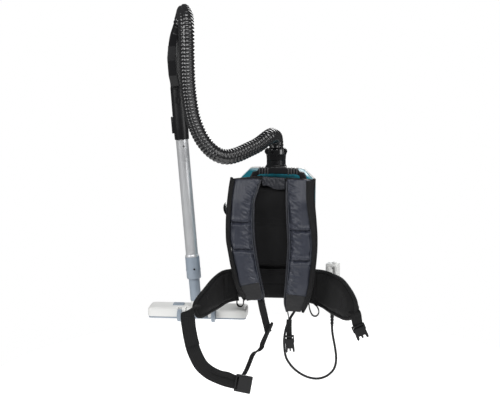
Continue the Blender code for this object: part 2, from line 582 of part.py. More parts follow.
def belt():
    """The two padded belt wings that curve forward round the waist."""
    right = [((-0.1000, 0.008, -0.105), (-0.1000, 0.008, -0.188)),
             ((-0.1240, 0.006, -0.106), (-0.1160, 0.006, -0.190)),
             ((-0.1475, -0.001, -0.111), (-0.1350, 0.000, -0.195)),
             ((-0.1710, -0.018, -0.128), (-0.1560, -0.018, -0.206)),
             ((-0.1905, -0.045, -0.150), (-0.1740, -0.045, -0.212)),
             ((-0.2060, -0.072, -0.168), (-0.1880, -0.072, -0.216)),
             ((-0.2130, -0.090, -0.180), (-0.1980, -0.090, -0.216)),
             ((-0.2130, -0.097, -0.190), (-0.2060, -0.097, -0.210))]
    left = [((0.1000, 0.008, -0.102), (0.1000, 0.008, -0.190)),
            ((0.1240, 0.006, -0.1025), (0.1160, 0.006, -0.194)),
            ((0.1420, 0.002, -0.104), (0.1400, 0.000, -0.203)),
            ((0.1640, -0.010, -0.109), (0.1600, -0.018, -0.212)),
            ((0.1910, -0.040, -0.116), (0.1800, -0.045, -0.2155)),
            ((0.2125, -0.080, -0.134), (0.2000, -0.080, -0.215)),
            ((0.2250, -0.108, -0.152), (0.2180, -0.105, -0.206)),
            ((0.2290, -0.121, -0.166), (0.2270, -0.119, -0.194))]
    piece("belt_wing_right", lofted(right, WING_THICK, 0.006), "mesh")
    piece("belt_wing_left", lofted(left, WING_THICK, 0.006), "mesh")


def buckle(name, socket, place, turn, width=0.048, length=0.046):
    """Half of a side-release buckle: the socket is a flat box with a mouth, the plug has two prongs."""
    thick = 0.012
    if socket:
        part = piece(name, block((width, thick, length), (0, 0, 0), 0.0025, 2), "black_plastic",
                     place=place, turn=turn)
        mouth = block((width * 0.72, thick * 0.5, length * 0.75), (0, 0, -length * 0.28))
        shape(part, piece(name + "_mouth", mouth, None, parent=part))
    else:
        outline = [(-0.50, 0.50), (-0.50, 0.12), (-0.44, 0.05), (-0.46, -0.40), (-0.38, -0.50),
                   (-0.28, -0.42),
                   (-0.24, -0.24), (-0.08, -0.24), (-0.06, -0.40),
                   (0.06, -0.40), (0.08, -0.24), (0.24, -0.24),
                   (0.28, -0.42), (0.38, -0.50), (0.46, -0.40), (0.44, 0.05), (0.50, 0.12), (0.50, 0.50)]
        mesh = prism([(a * width, b * length) for a, b in outline], -thick * 0.4, thick * 0.4)
        part = piece(name, mesh, "black_plastic", place=place, turn=turn)
    slot = block((width * 0.80, 0.04, 0.005), (0, 0, length * 0.36))
    shape(part, piece(name + "_slot", slot, None, parent=part))
    return part


def straps():
    """Waist strap, pad straps, loops, slider and buckles, hanging free."""
    ribbon("waist_strap", ((-0.2285, -0.1285, -0.197), (-0.2255, -0.137, -0.208), (-0.2230, -0.140, -0.229),
                           (-0.2175, -0.142, -0.262), (-0.2090, -0.144, -0.295), (-0.1940, -0.145, -0.328),
                           (-0.1800, -0.146, -0.345), (-0.1585, -0.147, -0.360), (-0.1257, -0.148, -0.373),
                           (-0.0985, -0.148, -0.3795)), WEB_WIDE, (0.85, 0.15, 0.50), count=22)
    buckle("waist_buckle_socket", True, (-0.0730, -0.148, -0.3850), (0, radians(-80), 0))
    ribbon("plug_webbing", ((0.2290, -0.1285, -0.184), (0.2285, -0.1305, -0.192), (0.2300, -0.1310, -0.202),
                            (0.2325, -0.1310, -0.2110)), WEB_WIDE * 0.75, (1.0, 0.0, 0.35), count=6)
    buckle("waist_buckle_plug", False, (0.2415, -0.130, -0.2370), (0, radians(-24), 0), 0.036, 0.042)
    ribbon("pad_strap_right", ((-0.0330, -0.030, -0.1800), (-0.0315, -0.036, -0.190),
                               (-0.0270, -0.044, -0.211),
                               (-0.0225, -0.047, -0.230), (-0.0205, -0.048, -0.2420)), WEB_NARROW,
                               (1.0, 0.2, 0.1),
           count=9)
    slider = piece("pad_slider", block((0.008, 0.026, 0.050), (0, 0, 0), 0.0025, 2), "black_plastic",
                   place=(-0.0110, -0.052, -0.2635), turn=(0, radians(24), 0))
    for side in (-1, 1):
        slot = block((0.02, 0.0205, 0.006), (0, 0, side * 0.010))
        shape(slider, piece(f"slider_slot_{side}", slot, None, parent=slider))
    ribbon("pad_strap_tail", ((-0.0240, -0.060, -0.2945), (-0.0300, -0.062, -0.3000),
                              (-0.0390, -0.070, -0.310),
                              (-0.0510, -0.082, -0.3200), (-0.0580, -0.095, -0.3330),
                              (-0.0640, -0.115, -0.3460),
                              (-0.0690, -0.132, -0.3540)), WEB_NARROW, (0.7, -0.5, 0.2), count=12)
    ribbon("pad_strap_left", ((0.0460, -0.029, -0.2120), (0.0452, -0.034, -0.222), (0.0450, -0.036, -0.240),
                              (0.0455, -0.036, -0.2760)), WEB_NARROW, (1.0, 0.0, 0.0), count=7)
    buckle("pad_buckle", False, (0.0478, -0.036, -0.3040), (0, radians(-5), 0), 0.027, 0.050)
    ribbon("strap_loop_right", ((-0.1040, -0.0005, -0.1915), (-0.1040, -0.002, -0.200),
                                (-0.0980, -0.0045, -0.2060),
                                (-0.0900, -0.0045, -0.2060), (-0.0860, -0.003, -0.1990),
                                (-0.0860, -0.0025, -0.1910)),
           0.012, (0.0, 1.0, 0.0), count=12)
    ribbon("strap_loop_left", ((0.1010, -0.003, -0.1930), (0.1040, -0.004, -0.214),
                               (0.1120, -0.006, -0.2280),
                               (0.1230, -0.006, -0.2290), (0.1290, -0.0045, -0.2180),
                               (0.1250, -0.003, -0.2030)),
           0.012, (0.0, 1.0, 0.0), count=14)


def control():
    """The wired remote control on the belt's outer side, its cord, strain relief and gland."""
    turn = radians(-17.5)
    guide = empty("control_axis", (0.1655, 0.0200, -0.1400), (0, 0, turn))
    shell = piece("control_front", block((0.036, 0.0145, 0.118), (0, 0.0078, 0), 0.005, 2),
                  "white_plastic", parent=guide)
    for name, height in (("power", 0.030), ("level", 0.004)):
        well = rod(0.0068, 0.0125, 0.02, 16, "Y", (0, 0, height))
        shape(shell, piece(name + "_well", well, None, parent=guide))
        button = turned([(0.0, 0.0), (0.0062, 0.0), (0.0062, 0.0032), (0.0052, 0.0042), (0.0, 0.0042)], 16)
        bmesh.ops.transform(button, matrix=Matrix.Rotation(-pi / 2, 4, "X"), verts=button.verts)
        piece(name + "_button", button, "grey_plastic", place=(0, 0.0137, height), parent=guide)
    back = piece("control_back", block((0.036, 0.0140, 0.118), (0, -0.0068, 0), 0.005, 2), "white_plastic",
                 parent=guide)
    shape(back, piece("screw_well", rod(0.0028, -0.02, -0.010, 14, "Y", (0.0035, 0, 0.046)), None,
                      parent=guide))
    shape(back, piece("top_bump", block((0.012, 0.008, 0.006), (0.006, -0.004, 0.0600), 0.0015, 1), None,
                      parent=guide),
          "UNION")
    piece("control_screw", rod(0.0024, -0.0130, -0.0103, 12, "Y", (0.0035, 0, 0.046)), "steel",
          parent=guide)
    relief = turned([(0.0, -0.1045), (CORD_DIAMETER / 2 + 0.0012, -0.1045), (0.0062, -0.064),
                     (0.0062, -0.0595),
                     (0.0, -0.0595)], 14)
    bmesh.ops.translate(relief, vec=(0, 0, -0.0182), verts=relief.verts)
    relief_piece = piece("strain_relief", relief, "rubber", parent=guide)
    stem = rod(0.0062, -0.080, -0.0592, 14)
    shape(relief_piece, piece("relief_stem", stem, None, parent=guide), "UNION")
    round_cord("control_cord", CORD_ROUTE, CORD_DIAMETER, 56, "rubber", 2)
    piece("cord_gland", turned([(0.0, -0.2160), (0.0050, -0.2160), (0.0068, -0.2000), (0.0105, -0.1985),
                                (0.0105, BASE_FLOOR - GAP), (0.0, BASE_FLOOR - GAP)], 16), "rubber",
          place=(0.062, 0.072, 0))


def hose_and_handle(wand):
    """The hose, its end cuff, the handle with its grip, and the handle's controls."""
    round_cord("suction_hose", HOSE_ROUTE, HOSE_DIAMETER, 60, "gloss_black", 4)
    sleeve = [(PIPE_RADIUS + 0.0008, 0.0), (0.0205, 0.0), (0.0215, 0.030), (0.0205, 0.150),
              (PIPE_RADIUS + 0.0008, 0.150)]
    shell = piece("handle_shell", turned(sleeve, 24), "black_plastic", parent=wand)
    bend = ((0.0, 0.0, 0.140), (0.0, 0.0, 0.215), (0.002, -0.001, 0.250), (0.010, -0.006, 0.285),
            (0.026, -0.018, 0.318))
    core = piece("handle_tube", thick_tube(bend, 0.0195, 14, 20), None, parent=wand)
    outer = [(-0.008, 0.140), (-0.036, 0.153), (-0.058, 0.182), (-0.062, 0.222), (-0.054, 0.262),
             (-0.022, 0.304)]
    inner = [(-0.008, 0.286), (-0.038, 0.252), (-0.045, 0.222), (-0.042, 0.194), (-0.031, 0.176),
             (-0.008, 0.166)]
    grip = prism(outer + inner, -0.0131, 0.0133, "X")
    for vert in grip.verts:
        lean = min(max((vert.co.z - 0.240) / 0.064, 0.0), 1.0)  # the grip's top follows the tube's bend
        vert.co.x = vert.co.x * (1 - 0.30 * lean) + 0.011 * lean
    bmesh.ops.bevel(grip, geom=[e for e in grip.edges if abs(e.verts[0].co.x - e.verts[1].co.x) < 1e-6],
                    offset=0.0035, segments=2, profile=0.5, affect="EDGES", clamp_overlap=True)
    shape(shell, piece("grip_bar", grip, None, parent=wand), "UNION")
    shape(shell, core, "UNION")
    shape(shell, piece("lock_well", block((0.0100, 0.0126, 0.0486), (-0.0247, 0, 0.043)), None,
                       parent=wand))
    slide = block((0.010, 0.004, 0.016), (0, -0.0236, 0.112), 0.001, 1)
    piece("suction_slide", slide, "black_plastic", parent=wand)
    lever = block((0.0040, 0.012, 0.048), (-0.0240, 0, 0.043), 0.0015, 2)
    piece("pipe_lock_button", lever, "black_plastic", parent=wand)


def pipes(wand):
    """Upper pipe with its collar, the telescoping lower pipe and its spring pin."""
    bore = PIPE_RADIUS - PIPE_WALL
    upper = [(PIPE_RADIUS, 0.030), (PIPE_RADIUS, -UPPER_LENGTH), (COLLAR_RADIUS, -UPPER_LENGTH - 0.004),
             (COLLAR_RADIUS, -UPPER_LENGTH - COLLAR_LENGTH + 0.002),
             (COLLAR_RADIUS - 0.002, -UPPER_LENGTH - COLLAR_LENGTH),
             (bore, -UPPER_LENGTH - COLLAR_LENGTH), (bore, 0.030)]
    tube = piece("upper_pipe", turned(upper, 28), "aluminium", parent=wand)
    for name, z in (("top_hole", -0.019), ("collar_hole", -UPPER_LENGTH - 0.042)):
        hole = rod(0.0025, -0.03, 0.0, 12, "Y", (0.006, 0, z))
        shape(tube, piece(name, hole, None, parent=wand))
    low = -WAND_LENGTH
    lower = [(LOWER_RADIUS, -0.120), (LOWER_RADIUS, low + 0.0015), (LOWER_RADIUS - 0.0015, low),
             (LOWER_RADIUS - 0.0018, low),
             (LOWER_RADIUS - 0.0018, -0.120)]
    tube = piece("lower_pipe", turned(lower, 28), "grey_plastic", parent=wand)
    hole = rod(0.0022, -0.03, 0.0, 12, "Y", (0.006, 0, low + 0.014))
    shape(tube, piece("lower_hole", hole, None, parent=wand))


def nozzle(wand):
    """Neck, shell, sole, pedal, brush strip and two wheels."""
    neck_z = -WAND_LENGTH
    neck = turned([(0.0, neck_z + 0.030), (0.0137, neck_z + 0.030), (0.0137, neck_z - GAP),
                   (0.0148, neck_z - 0.001),
                   (0.0148, neck_z - NECK_DROP + 0.0005), (0.0, neck_z - NECK_DROP + 0.0005)], 24)
    lug = piece("nozzle_neck", neck, "white_plastic", parent=wand)
    arm = block((0.060, 0.016, 0.014), (0, 0, neck_z - NECK_DROP), 0.004, 2)
    shape(lug, piece("neck_arm", arm, None, parent=wand), "UNION")
    place = wand.matrix_world @ Vector((0, 0, neck_z - NECK_DROP))
    hinge = empty("nozzle_axis", place, (NOZZLE_PITCH, 0, 0))
    width, depth, height = NOZZLE_SIZE
    body = block((width, depth, height), (0, 0.032, -0.009), 0.0, 2)
    upright = [e for e in body.edges if abs(e.verts[0].co.z - e.verts[1].co.z) > 0.01]
    bmesh.ops.bevel(body, geom=upright, offset=0.012, segments=3, profile=0.5, affect="EDGES",
                    clamp_overlap=True)
    rim = [e for e in body.edges if all(v.co.z > 0 for v in e.verts)]
    bmesh.ops.bevel(body, geom=rim, offset=0.008, segments=3, profile=0.5, affect="EDGES",
                    clamp_overlap=True)
    shell = piece("nozzle_shell", body, "white_plastic", parent=hinge)
    shape(shell, piece("neck_notch", block((0.066, 0.036, 0.06), (0, 0.0, 0.0)), None, parent=hinge))
    shape(shell, piece("pedal_well", block((0.0326, 0.0256, 0.016), (-0.060, 0.040, 0.004)), None,
                       parent=hinge))
    shape(shell, piece("under_room", block((width - 0.012, depth - 0.012, 0.016), (0, 0.032, -0.0185)),
                       None, parent=hinge))
    shape(shell, piece("wheel_notch_r", block((0.0112, 0.040, 0.08), (-WHEEL_SPREAD, -0.008, 0)), None,
                       parent=hinge))
    shape(shell, piece("wheel_notch_l", block((0.0112, 0.040, 0.08), (WHEEL_SPREAD, -0.008, 0)), None,
                       parent=hinge))
    sole = block((width - 0.004, depth - 0.004, 0.004), (0, 0.032, -0.0225 - 0.0025), 0.0, 1)
    upright = [e for e in sole.edges if abs(e.verts[0].co.z - e.verts[1].co.z) > 0.003]
    bmesh.ops.bevel(sole, geom=upright, offset=0.010, segments=3, profile=0.5, affect="EDGES",
                    clamp_overlap=True)
    plate = piece("nozzle_sole", sole, "grey_plastic", parent=hinge)
    shape(plate, piece("mouth", block((width - 0.050, 0.016, 0.03), (0, 0.040, -0.025)), None,
                       parent=hinge))
    shape(plate, piece("brush_slot", block((width - 0.050, 0.006, 0.03), (0, 0.058, -0.025)), None,
                       parent=hinge))
    for name, side in (("left", 1), ("right", -1)):
        notch = block((0.0112, 0.040, 0.08), (side * WHEEL_SPREAD, -0.008, 0))
        shape(plate, piece("sole_notch_" + name, notch, None, parent=hinge))
        wheel = rod(WHEEL_RADIUS, -WHEEL_WIDTH / 2, WHEEL_WIDTH / 2, 24, "X")
        bmesh.ops.bevel(wheel, geom=[e for e in wheel.edges if e.calc_face_angle(0) > 1.0], offset=0.001,
                        segments=1,
                        profile=0.5, affect="EDGES", clamp_overlap=True)
        piece("wheel_" + name, wheel, "grey_plastic", place=(side * WHEEL_SPREAD, -0.010, -0.016),
              parent=hinge)
    piece("nozzle_pedal", block((0.032, 0.025, 0.006), (0, 0, 0), 0.0015, 1), "grey_plastic",
          place=(-0.060, 0.040, 0.0045),
          parent=hinge)
    brush = block((width - 0.056, 0.004, 0.0085), (0, 0.058, -0.0215))
    piece("nozzle_brush", brush, "bristle", parent=hinge)


def main():
    clear_scene()
    tub = housing()
    hinge_knuckles(tub)
    lid()
    motor_cover()
    base()
    inner_parts()
    inlet()
    carry_handle()
    accessory_clip()
    back_frame()
    pads()
    belt()
    straps()
    control()
    wand = empty("wand_axis", WAND_TOP, (0, WAND_LEAN, 0))
    hose_and_handle(wand)
    pipes(wand)
    nozzle(wand)


main()
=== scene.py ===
"""Cordless backpack vacuum cleaner: the dressed model around its CAD frame.

Metres, +Z up, +Y away from the wearer, +X to the wearer's left. The origin is the middle of the back pad's face.
"""

import json
import logging
from dataclasses import dataclass, field
from enum import Enum
from math import atan2, copysign, cos, exp, pi, radians, sin
from typing import Callable, Iterable, Optional, Sequence

import bmesh
import bpy
from mathutils import Matrix, Quaternion, Vector, noise


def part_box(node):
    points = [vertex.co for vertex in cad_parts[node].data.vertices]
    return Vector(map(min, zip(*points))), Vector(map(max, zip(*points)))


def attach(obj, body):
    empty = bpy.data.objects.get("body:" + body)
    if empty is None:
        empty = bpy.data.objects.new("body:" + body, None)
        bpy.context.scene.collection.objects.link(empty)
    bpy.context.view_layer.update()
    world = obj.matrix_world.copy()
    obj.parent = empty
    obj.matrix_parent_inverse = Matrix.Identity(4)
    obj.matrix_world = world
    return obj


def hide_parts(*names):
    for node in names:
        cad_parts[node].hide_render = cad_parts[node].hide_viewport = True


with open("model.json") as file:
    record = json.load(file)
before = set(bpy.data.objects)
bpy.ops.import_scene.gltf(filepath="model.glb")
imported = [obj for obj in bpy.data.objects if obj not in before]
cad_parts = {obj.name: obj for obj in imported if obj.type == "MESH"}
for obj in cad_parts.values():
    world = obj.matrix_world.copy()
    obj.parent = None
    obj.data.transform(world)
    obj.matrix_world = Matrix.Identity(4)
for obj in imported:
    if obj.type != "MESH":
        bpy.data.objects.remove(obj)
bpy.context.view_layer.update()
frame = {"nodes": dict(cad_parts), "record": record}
SUBPARTS: dict[str, str] = {row["node"]: row["material_slot"] for row in frame["record"]["subparts"]}

logging.basicConfig(level=logging.INFO, format="%(message)s")
LOG = logging.getLogger("vacuum")

MM = 0.001
Point = tuple[float, float, float]
Colour = tuple[float, float, float]


class Slot(Enum):
    """The record's material slots that new pieces use."""

    TEAL = "teal_plastic"
    WHITE = "white_plastic"
    BLACK = "black_plastic"
    GLOSS = "gloss_black"
    GREY = "grey_plastic"
    ALUMINIUM = "aluminium"
    STEEL = "steel"
    NYLON = "nylon"
    MESH = "mesh"
    WEBBING = "webbing"
    RUBBER = "rubber"
    PAPER = "paper"
    BOARD = "green_board"
    BRISTLE = "bristle"


# ---------------------------------------------------------------- finishes


class Graph:
    """A material's nodes, wired up one at a time."""

    def __init__(self, name: str) -> None:
        """Starts a material with a plain Principled shader.

        Args:
            name: the material's name.
        """
        self.material = bpy.data.materials.new(name)
        self.material.use_nodes = True
        self.tree = self.material.node_tree
        self.shader = self.tree.nodes["Principled BSDF"]

    def put(self, kind: str, inputs: Optional[dict] = None, **settings: object) -> bpy.types.Node:
        """Adds a node.

        Args:
            kind: the node's type name.
            inputs: values or sockets for its inputs, by name or number.
            settings: the node's own properties.

        Returns:
            The new node.
        """
        node = self.tree.nodes.new(kind)
        for key, value in settings.items():
            setattr(node, key, value)
        for key, value in (inputs or {}).items():
            if isinstance(value, bpy.types.NodeSocket):
                self.tree.links.new(value, node.inputs[key])
            else:
                node.inputs[key].default_value = value
        return node

    def place(self, source: str = "Object", stretch: Point = (1.0, 1.0, 1.0),
              turn: Point = (0.0, 0.0, 0.0)) -> bpy.types.NodeSocket:
        """Coordinates for a pattern, stretched and turned."""
        at = self.put("ShaderNodeTexCoord").outputs[source]
        return self.put("ShaderNodeMapping", {"Vector": at, "Scale": stretch, "Rotation": turn}).outputs["Vector"]

    def noise(self, at: bpy.types.NodeSocket, per_metre: float, detail: float = 3.0,
              rough: float = 0.5) -> bpy.types.NodeSocket:
        """A cloudy value from 0 to 1."""
        inputs = {"Vector": at, "Scale": per_metre, "Detail": detail, "Roughness": rough}
        return self.put("ShaderNodeTexNoise", inputs).outputs["Fac"]

    def wave(self, at: bpy.types.NodeSocket, per_metre: float, direction: str = "X",
             distort: float = 0.0) -> bpy.types.NodeSocket:
        """Even bands, from 0 to 1."""
        inputs = {"Vector": at, "Scale": per_metre, "Distortion": distort, "Detail": 1.0}
        return self.put("ShaderNodeTexWave", inputs, bands_direction=direction, wave_profile="SIN").outputs["Fac"]

    def sums(self, how: str, a: object, b: object) -> bpy.types.NodeSocket:
        """One step of arithmetic."""
        return self.put("ShaderNodeMath", {0: a, 1: b}, operation=how).outputs[0]

    def span(self, value: bpy.types.NodeSocket, low: float, high: float, first: float = 0.0,
             last: float = 1.0) -> bpy.types.NodeSocket:
        """A value fitted from one span to another."""
        inputs = {"Value": value, "From Min": low, "From Max": high, "To Min": first, "To Max": last}
        return self.put("ShaderNodeMapRange", inputs).outputs["Result"]

    def blend(self, share: bpy.types.NodeSocket, first: object, second: object) -> bpy.types.NodeSocket:
        """A colour between two colours."""
        pair = [c if isinstance(c, bpy.types.NodeSocket) else (*c, 1.0) for c in (first, second)]
        return self.put("ShaderNodeMix", {0: share, 6: pair[0], 7: pair[1]}, data_type="RGBA").outputs[2]

    def relief(self, height: bpy.types.NodeSocket, depth: float,
               under: Optional[bpy.types.NodeSocket] = None) -> bpy.types.NodeSocket:
        """A bumped normal, on top of another one where it is given.

        Args:
            height: the pattern that raises the surface.
            depth: how deep the pattern is, in metres.
            under: a normal to start from.

        Returns:
            The normal.
        """
        inputs = {"Height": height, "Distance": depth, "Strength": 1.0}
        if under:
            inputs["Normal"] = under
        return self.put("ShaderNodeBump", inputs).outputs["Normal"]

    def feed(self, **sockets: bpy.types.NodeSocket) -> None:
        """Links sockets to the shader, with underscores for spaces."""
        for key, socket in sockets.items():
            self.tree.links.new(socket, self.shader.inputs[key.replace("_", " ")])

    def fix(self, **values: object) -> None:
        """Sets the shader's own values, with underscores for spaces."""
        for key, value in values.items():
            self.shader.inputs[key.replace("_", " ")].default_value = value


def shade(colour: Colour, share: float) -> Colour:
    """A colour made darker or lighter."""
    return tuple(min(1.0, c * share) for c in colour)


@dataclass(frozen=True)
class Moulded:
    """Moulded plastic or rubber: fine grain, faint flow marks, and dull scuffs."""

    name: str
    colour: Colour
    roughness: float = 0.4
    grain: float = 0.02
    grains: float = 2600.0
    vary: float = 0.12
    scuff: float = 0.12
    coat: float = 0.0
    specular: float = 0.5

    def material(self) -> bpy.types.Material:
        """Builds the material.

        Returns:
            The new material.
        """
        graph = Graph(self.name)
        at = graph.place()
        cloud = graph.noise(at, 14.0, 3.0, 0.6)
        marks = graph.span(graph.noise(graph.place(stretch=(1.0, 1.0, 0.35), turn=(0.3, 0.5, 0.2)), 170.0, 4.0, 0.75),
                           0.58, 0.76)
        colour = graph.blend(cloud, shade(self.colour, 1 - self.vary), shade(self.colour, 1 + self.vary))
        worn = graph.blend(graph.sums("MULTIPLY", marks, self.scuff), colour, shade(self.colour, 1.7))
        rough = graph.span(cloud, 0.2, 0.8, self.roughness * 0.85, self.roughness * 1.15)
        rough = graph.sums("ADD", rough, graph.sums("MULTIPLY", marks, self.scuff))
        grain = graph.noise(at, self.grains, 2.0, 0.6)
        graph.feed(Base_Color=worn, Roughness=rough, Normal=graph.relief(grain, self.grain * MM))
        graph.fix(Coat_Weight=self.coat, Coat_Roughness=0.15, Specular_IOR_Level=self.specular)
        return graph.material


@dataclass(frozen=True)
class Metal:
    """Drawn or turned metal with fine lines along it."""

    name: str
    colour: Colour
    roughness: float = 0.3
    stretch: Point = (1.0, 1.0, 0.02)
    lines: float = 900.0
    metallic: float = 1.0

    def material(self) -> bpy.types.Material:
        """Builds the material.

        Returns:
            The new material.
        """
        graph = Graph(self.name)
        streak = graph.noise(graph.place(stretch=self.stretch), self.lines, 4.0, 0.7)
        cloud = graph.noise(graph.place(), 22.0, 3.0, 0.6)
        colour = graph.blend(streak, shade(self.colour, 0.86), shade(self.colour, 1.1))
        rough = graph.sums("ADD", graph.span(streak, 0.25, 0.75, self.roughness * 0.8, self.roughness * 1.2),
                           graph.span(cloud, 0.4, 0.8, 0.0, 0.08))
        graph.feed(Base_Color=colour, Roughness=rough, Normal=graph.relief(streak, 0.012 * MM))
        graph.fix(Metallic=self.metallic)
        return graph.material


@dataclass(frozen=True)
class Nylon:
    """Close-woven nylon over padding: a fine crossed weave, soft sheen and small creases."""

    name: str
    colour: Colour
    roughness: float = 0.42
    threads: float = 340.0
    crease: float = 0.5
    sheen: float = 0.12

    def material(self) -> bpy.types.Material:
        """Builds the material.

        Returns:
            The new material.
        """
        graph = Graph(self.name)
        at = graph.place()
        across = graph.wave(at, self.threads, "X")
        along = graph.wave(at, self.threads, "Z")
        weave = graph.sums("MULTIPLY", across, along)
        cloud = graph.noise(at, 30.0, 4.0, 0.6)
        creases = graph.noise(graph.place(stretch=(0.55, 0.7, 1.5), turn=(0.0, 0.5, 0.0)), 62.0, 3.0, 0.55)
        colour = graph.blend(cloud, shade(self.colour, 0.78), shade(self.colour, 1.25))
        colour = graph.blend(graph.span(weave, 0.0, 1.0, 0.0, 0.35), colour, shade(self.colour, 1.7))
        rough = graph.span(cloud, 0.3, 0.7, self.roughness * 0.85, self.roughness * 1.2)
        under = graph.relief(creases, self.crease * MM)
        graph.feed(Base_Color=colour, Roughness=rough, Normal=graph.relief(weave, 0.10 * MM, under))
        graph.fix(Sheen_Weight=self.sheen, Sheen_Roughness=0.35, Sheen_Tint=(0.62, 0.68, 0.80, 1.0),
                  Specular_IOR_Level=0.4)
        return graph.material


@dataclass(frozen=True)
class Spacer:
    """Spacer mesh: a net of small open cells over foam, with a soft nap."""

    name: str
    colour: Colour
    cells: float = 520.0
    depth: float = 0.35
    sheen: float = 0.06

    def material(self) -> bpy.types.Material:
        """Builds the material.

        Returns:
            The new material.
        """
        graph = Graph(self.name)
        at = graph.place()
        cells = graph.put("ShaderNodeTexVoronoi", {"Vector": at, "Scale": self.cells, "Randomness": 0.25},
                          feature="F1").outputs["Distance"]
        cloud = graph.noise(at, 24.0, 3.0, 0.6)
        net = graph.span(cells, 0.15, 0.55)
        colour = graph.blend(net, shade(self.colour, 0.55), shade(self.colour, 1.8))
        colour = graph.blend(graph.span(cloud, 0.45, 0.8, 0.0, 0.4), colour, shade(self.colour, 2.3))
        soft = graph.relief(cloud, 0.5 * MM)
        graph.feed(Base_Color=colour, Normal=graph.relief(net, self.depth * MM, soft))
        graph.fix(Roughness=0.92, Sheen_Weight=self.sheen, Sheen_Roughness=0.5, Specular_IOR_Level=0.15)
        return graph.material


@dataclass(frozen=True)
class Webbing:
    """Woven strap: ribs across it and chevrons along it, read from the strap's own UV in metres."""

    name: str
    colour: Colour
    ribs: float = 270.0
    sheen: float = 0.05

    def material(self) -> bpy.types.Material:
        """Builds the material.

        Returns:
            The new material.
        """
        graph = Graph(self.name)
        at = graph.place("UV")
        warp = graph.wave(at, self.ribs, "Y")
        weft = graph.wave(at, self.ribs * 1.6, "X")
        twill = graph.wave(graph.place("UV", turn=(0.0, 0.0, radians(45))), self.ribs * 0.9, "X")
        cloud = graph.noise(at, 40.0, 3.0, 0.6)
        height = graph.sums("ADD", graph.sums("MULTIPLY", warp, weft), graph.sums("MULTIPLY", twill, 0.5))
        colour = graph.blend(graph.span(height, 0.1, 1.3), shade(self.colour, 0.55), shade(self.colour, 1.9))
        colour = graph.blend(graph.span(cloud, 0.5, 0.8, 0.0, 0.35), colour, shade(self.colour, 2.4))
        graph.feed(Base_Color=colour, Normal=graph.relief(height, 0.22 * MM))
        graph.fix(Roughness=0.66, Sheen_Weight=self.sheen, Sheen_Roughness=0.45, Specular_IOR_Level=0.22)
        return graph.material


@dataclass(frozen=True)
class Fibre:
    """Pressed paper or bristle: long fibres lying every way."""

    name: str
    colour: Colour
    fibres: float = 420.0
    stretch: Point = (1.0, 0.3, 1.0)

    def material(self) -> bpy.types.Material:
        """Builds the material.

        Returns:
            The new material.
        """
        graph = Graph(self.name)
        lines = graph.noise(graph.place(stretch=self.stretch), self.fibres, 5.0, 0.7)
        colour = graph.blend(lines, shade(self.colour, 0.75), shade(self.colour, 1.2))
        graph.feed(Base_Color=colour, Normal=graph.relief(lines, 0.2 * MM))
        graph.fix(Roughness=0.85)
        return graph.material


FINISHES = {
    Slot.TEAL: Moulded("teal_plastic", (0.012, 0.235, 0.315), 0.36, 0.012),
    Slot.WHITE: Moulded("white_plastic", (0.74, 0.74, 0.725), 0.38, 0.012, vary=0.03, scuff=0.04),
    Slot.BLACK: Moulded("black_plastic", (0.0085, 0.0085, 0.0095), 0.38, 0.02, specular=0.28),
    Slot.GLOSS: Moulded("gloss_black", (0.006, 0.006, 0.007), 0.15, 0.004, vary=0.2, scuff=0.05, coat=0.5,
                        specular=0.4),
    Slot.GREY: Moulded("grey_plastic", (0.27, 0.315, 0.37), 0.36, 0.012, vary=0.05, scuff=0.05),
    Slot.ALUMINIUM: Metal("aluminium", (0.62, 0.63, 0.645), 0.34, metallic=0.45),
    Slot.STEEL: Metal("steel", (0.42, 0.42, 0.43), 0.34, (1.0, 1.0, 1.0), 500.0),
    Slot.NYLON: Nylon("nylon", (0.026, 0.029, 0.041), 0.36, sheen=0.06),
    Slot.MESH: Spacer("mesh", (0.0055, 0.0055, 0.0058)),
    Slot.WEBBING: Webbing("webbing", (0.0050, 0.0050, 0.0054), sheen=0.02),
    Slot.RUBBER: Moulded("rubber", (0.008, 0.008, 0.009), 0.5, 0.02, specular=0.28),
    Slot.PAPER: Fibre("paper", (0.62, 0.54, 0.40)),
    Slot.BOARD: Moulded("green_board", (0.012, 0.11, 0.035), 0.35, 0.01),
    Slot.BRISTLE: Fibre("bristle", (0.03, 0.03, 0.032), 900.0, (1.0, 1.0, 0.05)),
}
# The handle's black plastic made lighter for its ribs: a painted highlight on the ribs.
RIB_PAINTED_HIGHLIGHT = Moulded("rib_painted_highlight", (0.050, 0.050, 0.052), 0.30, 0.01)
BINDING = Webbing("binding_tape", (0.0060, 0.0060, 0.0065), 420.0, 0.03)
PIPING = Nylon("piping_cord", (0.050, 0.056, 0.072), 0.5, 700.0, 0.05)
PATCH = Nylon("patch_cloth", (0.009, 0.009, 0.010), 0.6, 420.0, 0.3, 0.05)
YOKE = Nylon("yoke_cloth", (0.013, 0.014, 0.019), 0.42, 360.0, 0.9, 0.05)


class Paints:
    """Materials made once each and shared by their pieces."""

    made: dict[str, bpy.types.Material] = {}

    @classmethod
    def of(cls, finish: object) -> bpy.types.Material:
        """The material of a slot or of a finish.

        Args:
            finish: a slot, which has its own finish, or a finish.

        Returns:
            The material, made once.
        """
        chosen = FINISHES[finish] if isinstance(finish, Slot) else finish
        if chosen.name not in cls.made:
            cls.made[chosen.name] = chosen.material()
        return cls.made[chosen.name]


# ---------------------------------------------------------------- shaping tools

# Edges over these angles in degrees stay sharp: on hard pieces, turned pieces, straps, moulded skins and cushions.
HARD_EDGE = 35.0
TURNED_EDGE = 40.0
STRAP_EDGE = 50.0
SOFT_EDGE = 60.0
CUSHION_EDGE = 80.0

def bare(obj: bpy.types.Object) -> bpy.types.Object:
    """Links a new object into the scene."""
    bpy.context.scene.collection.objects.link(obj)
    return obj


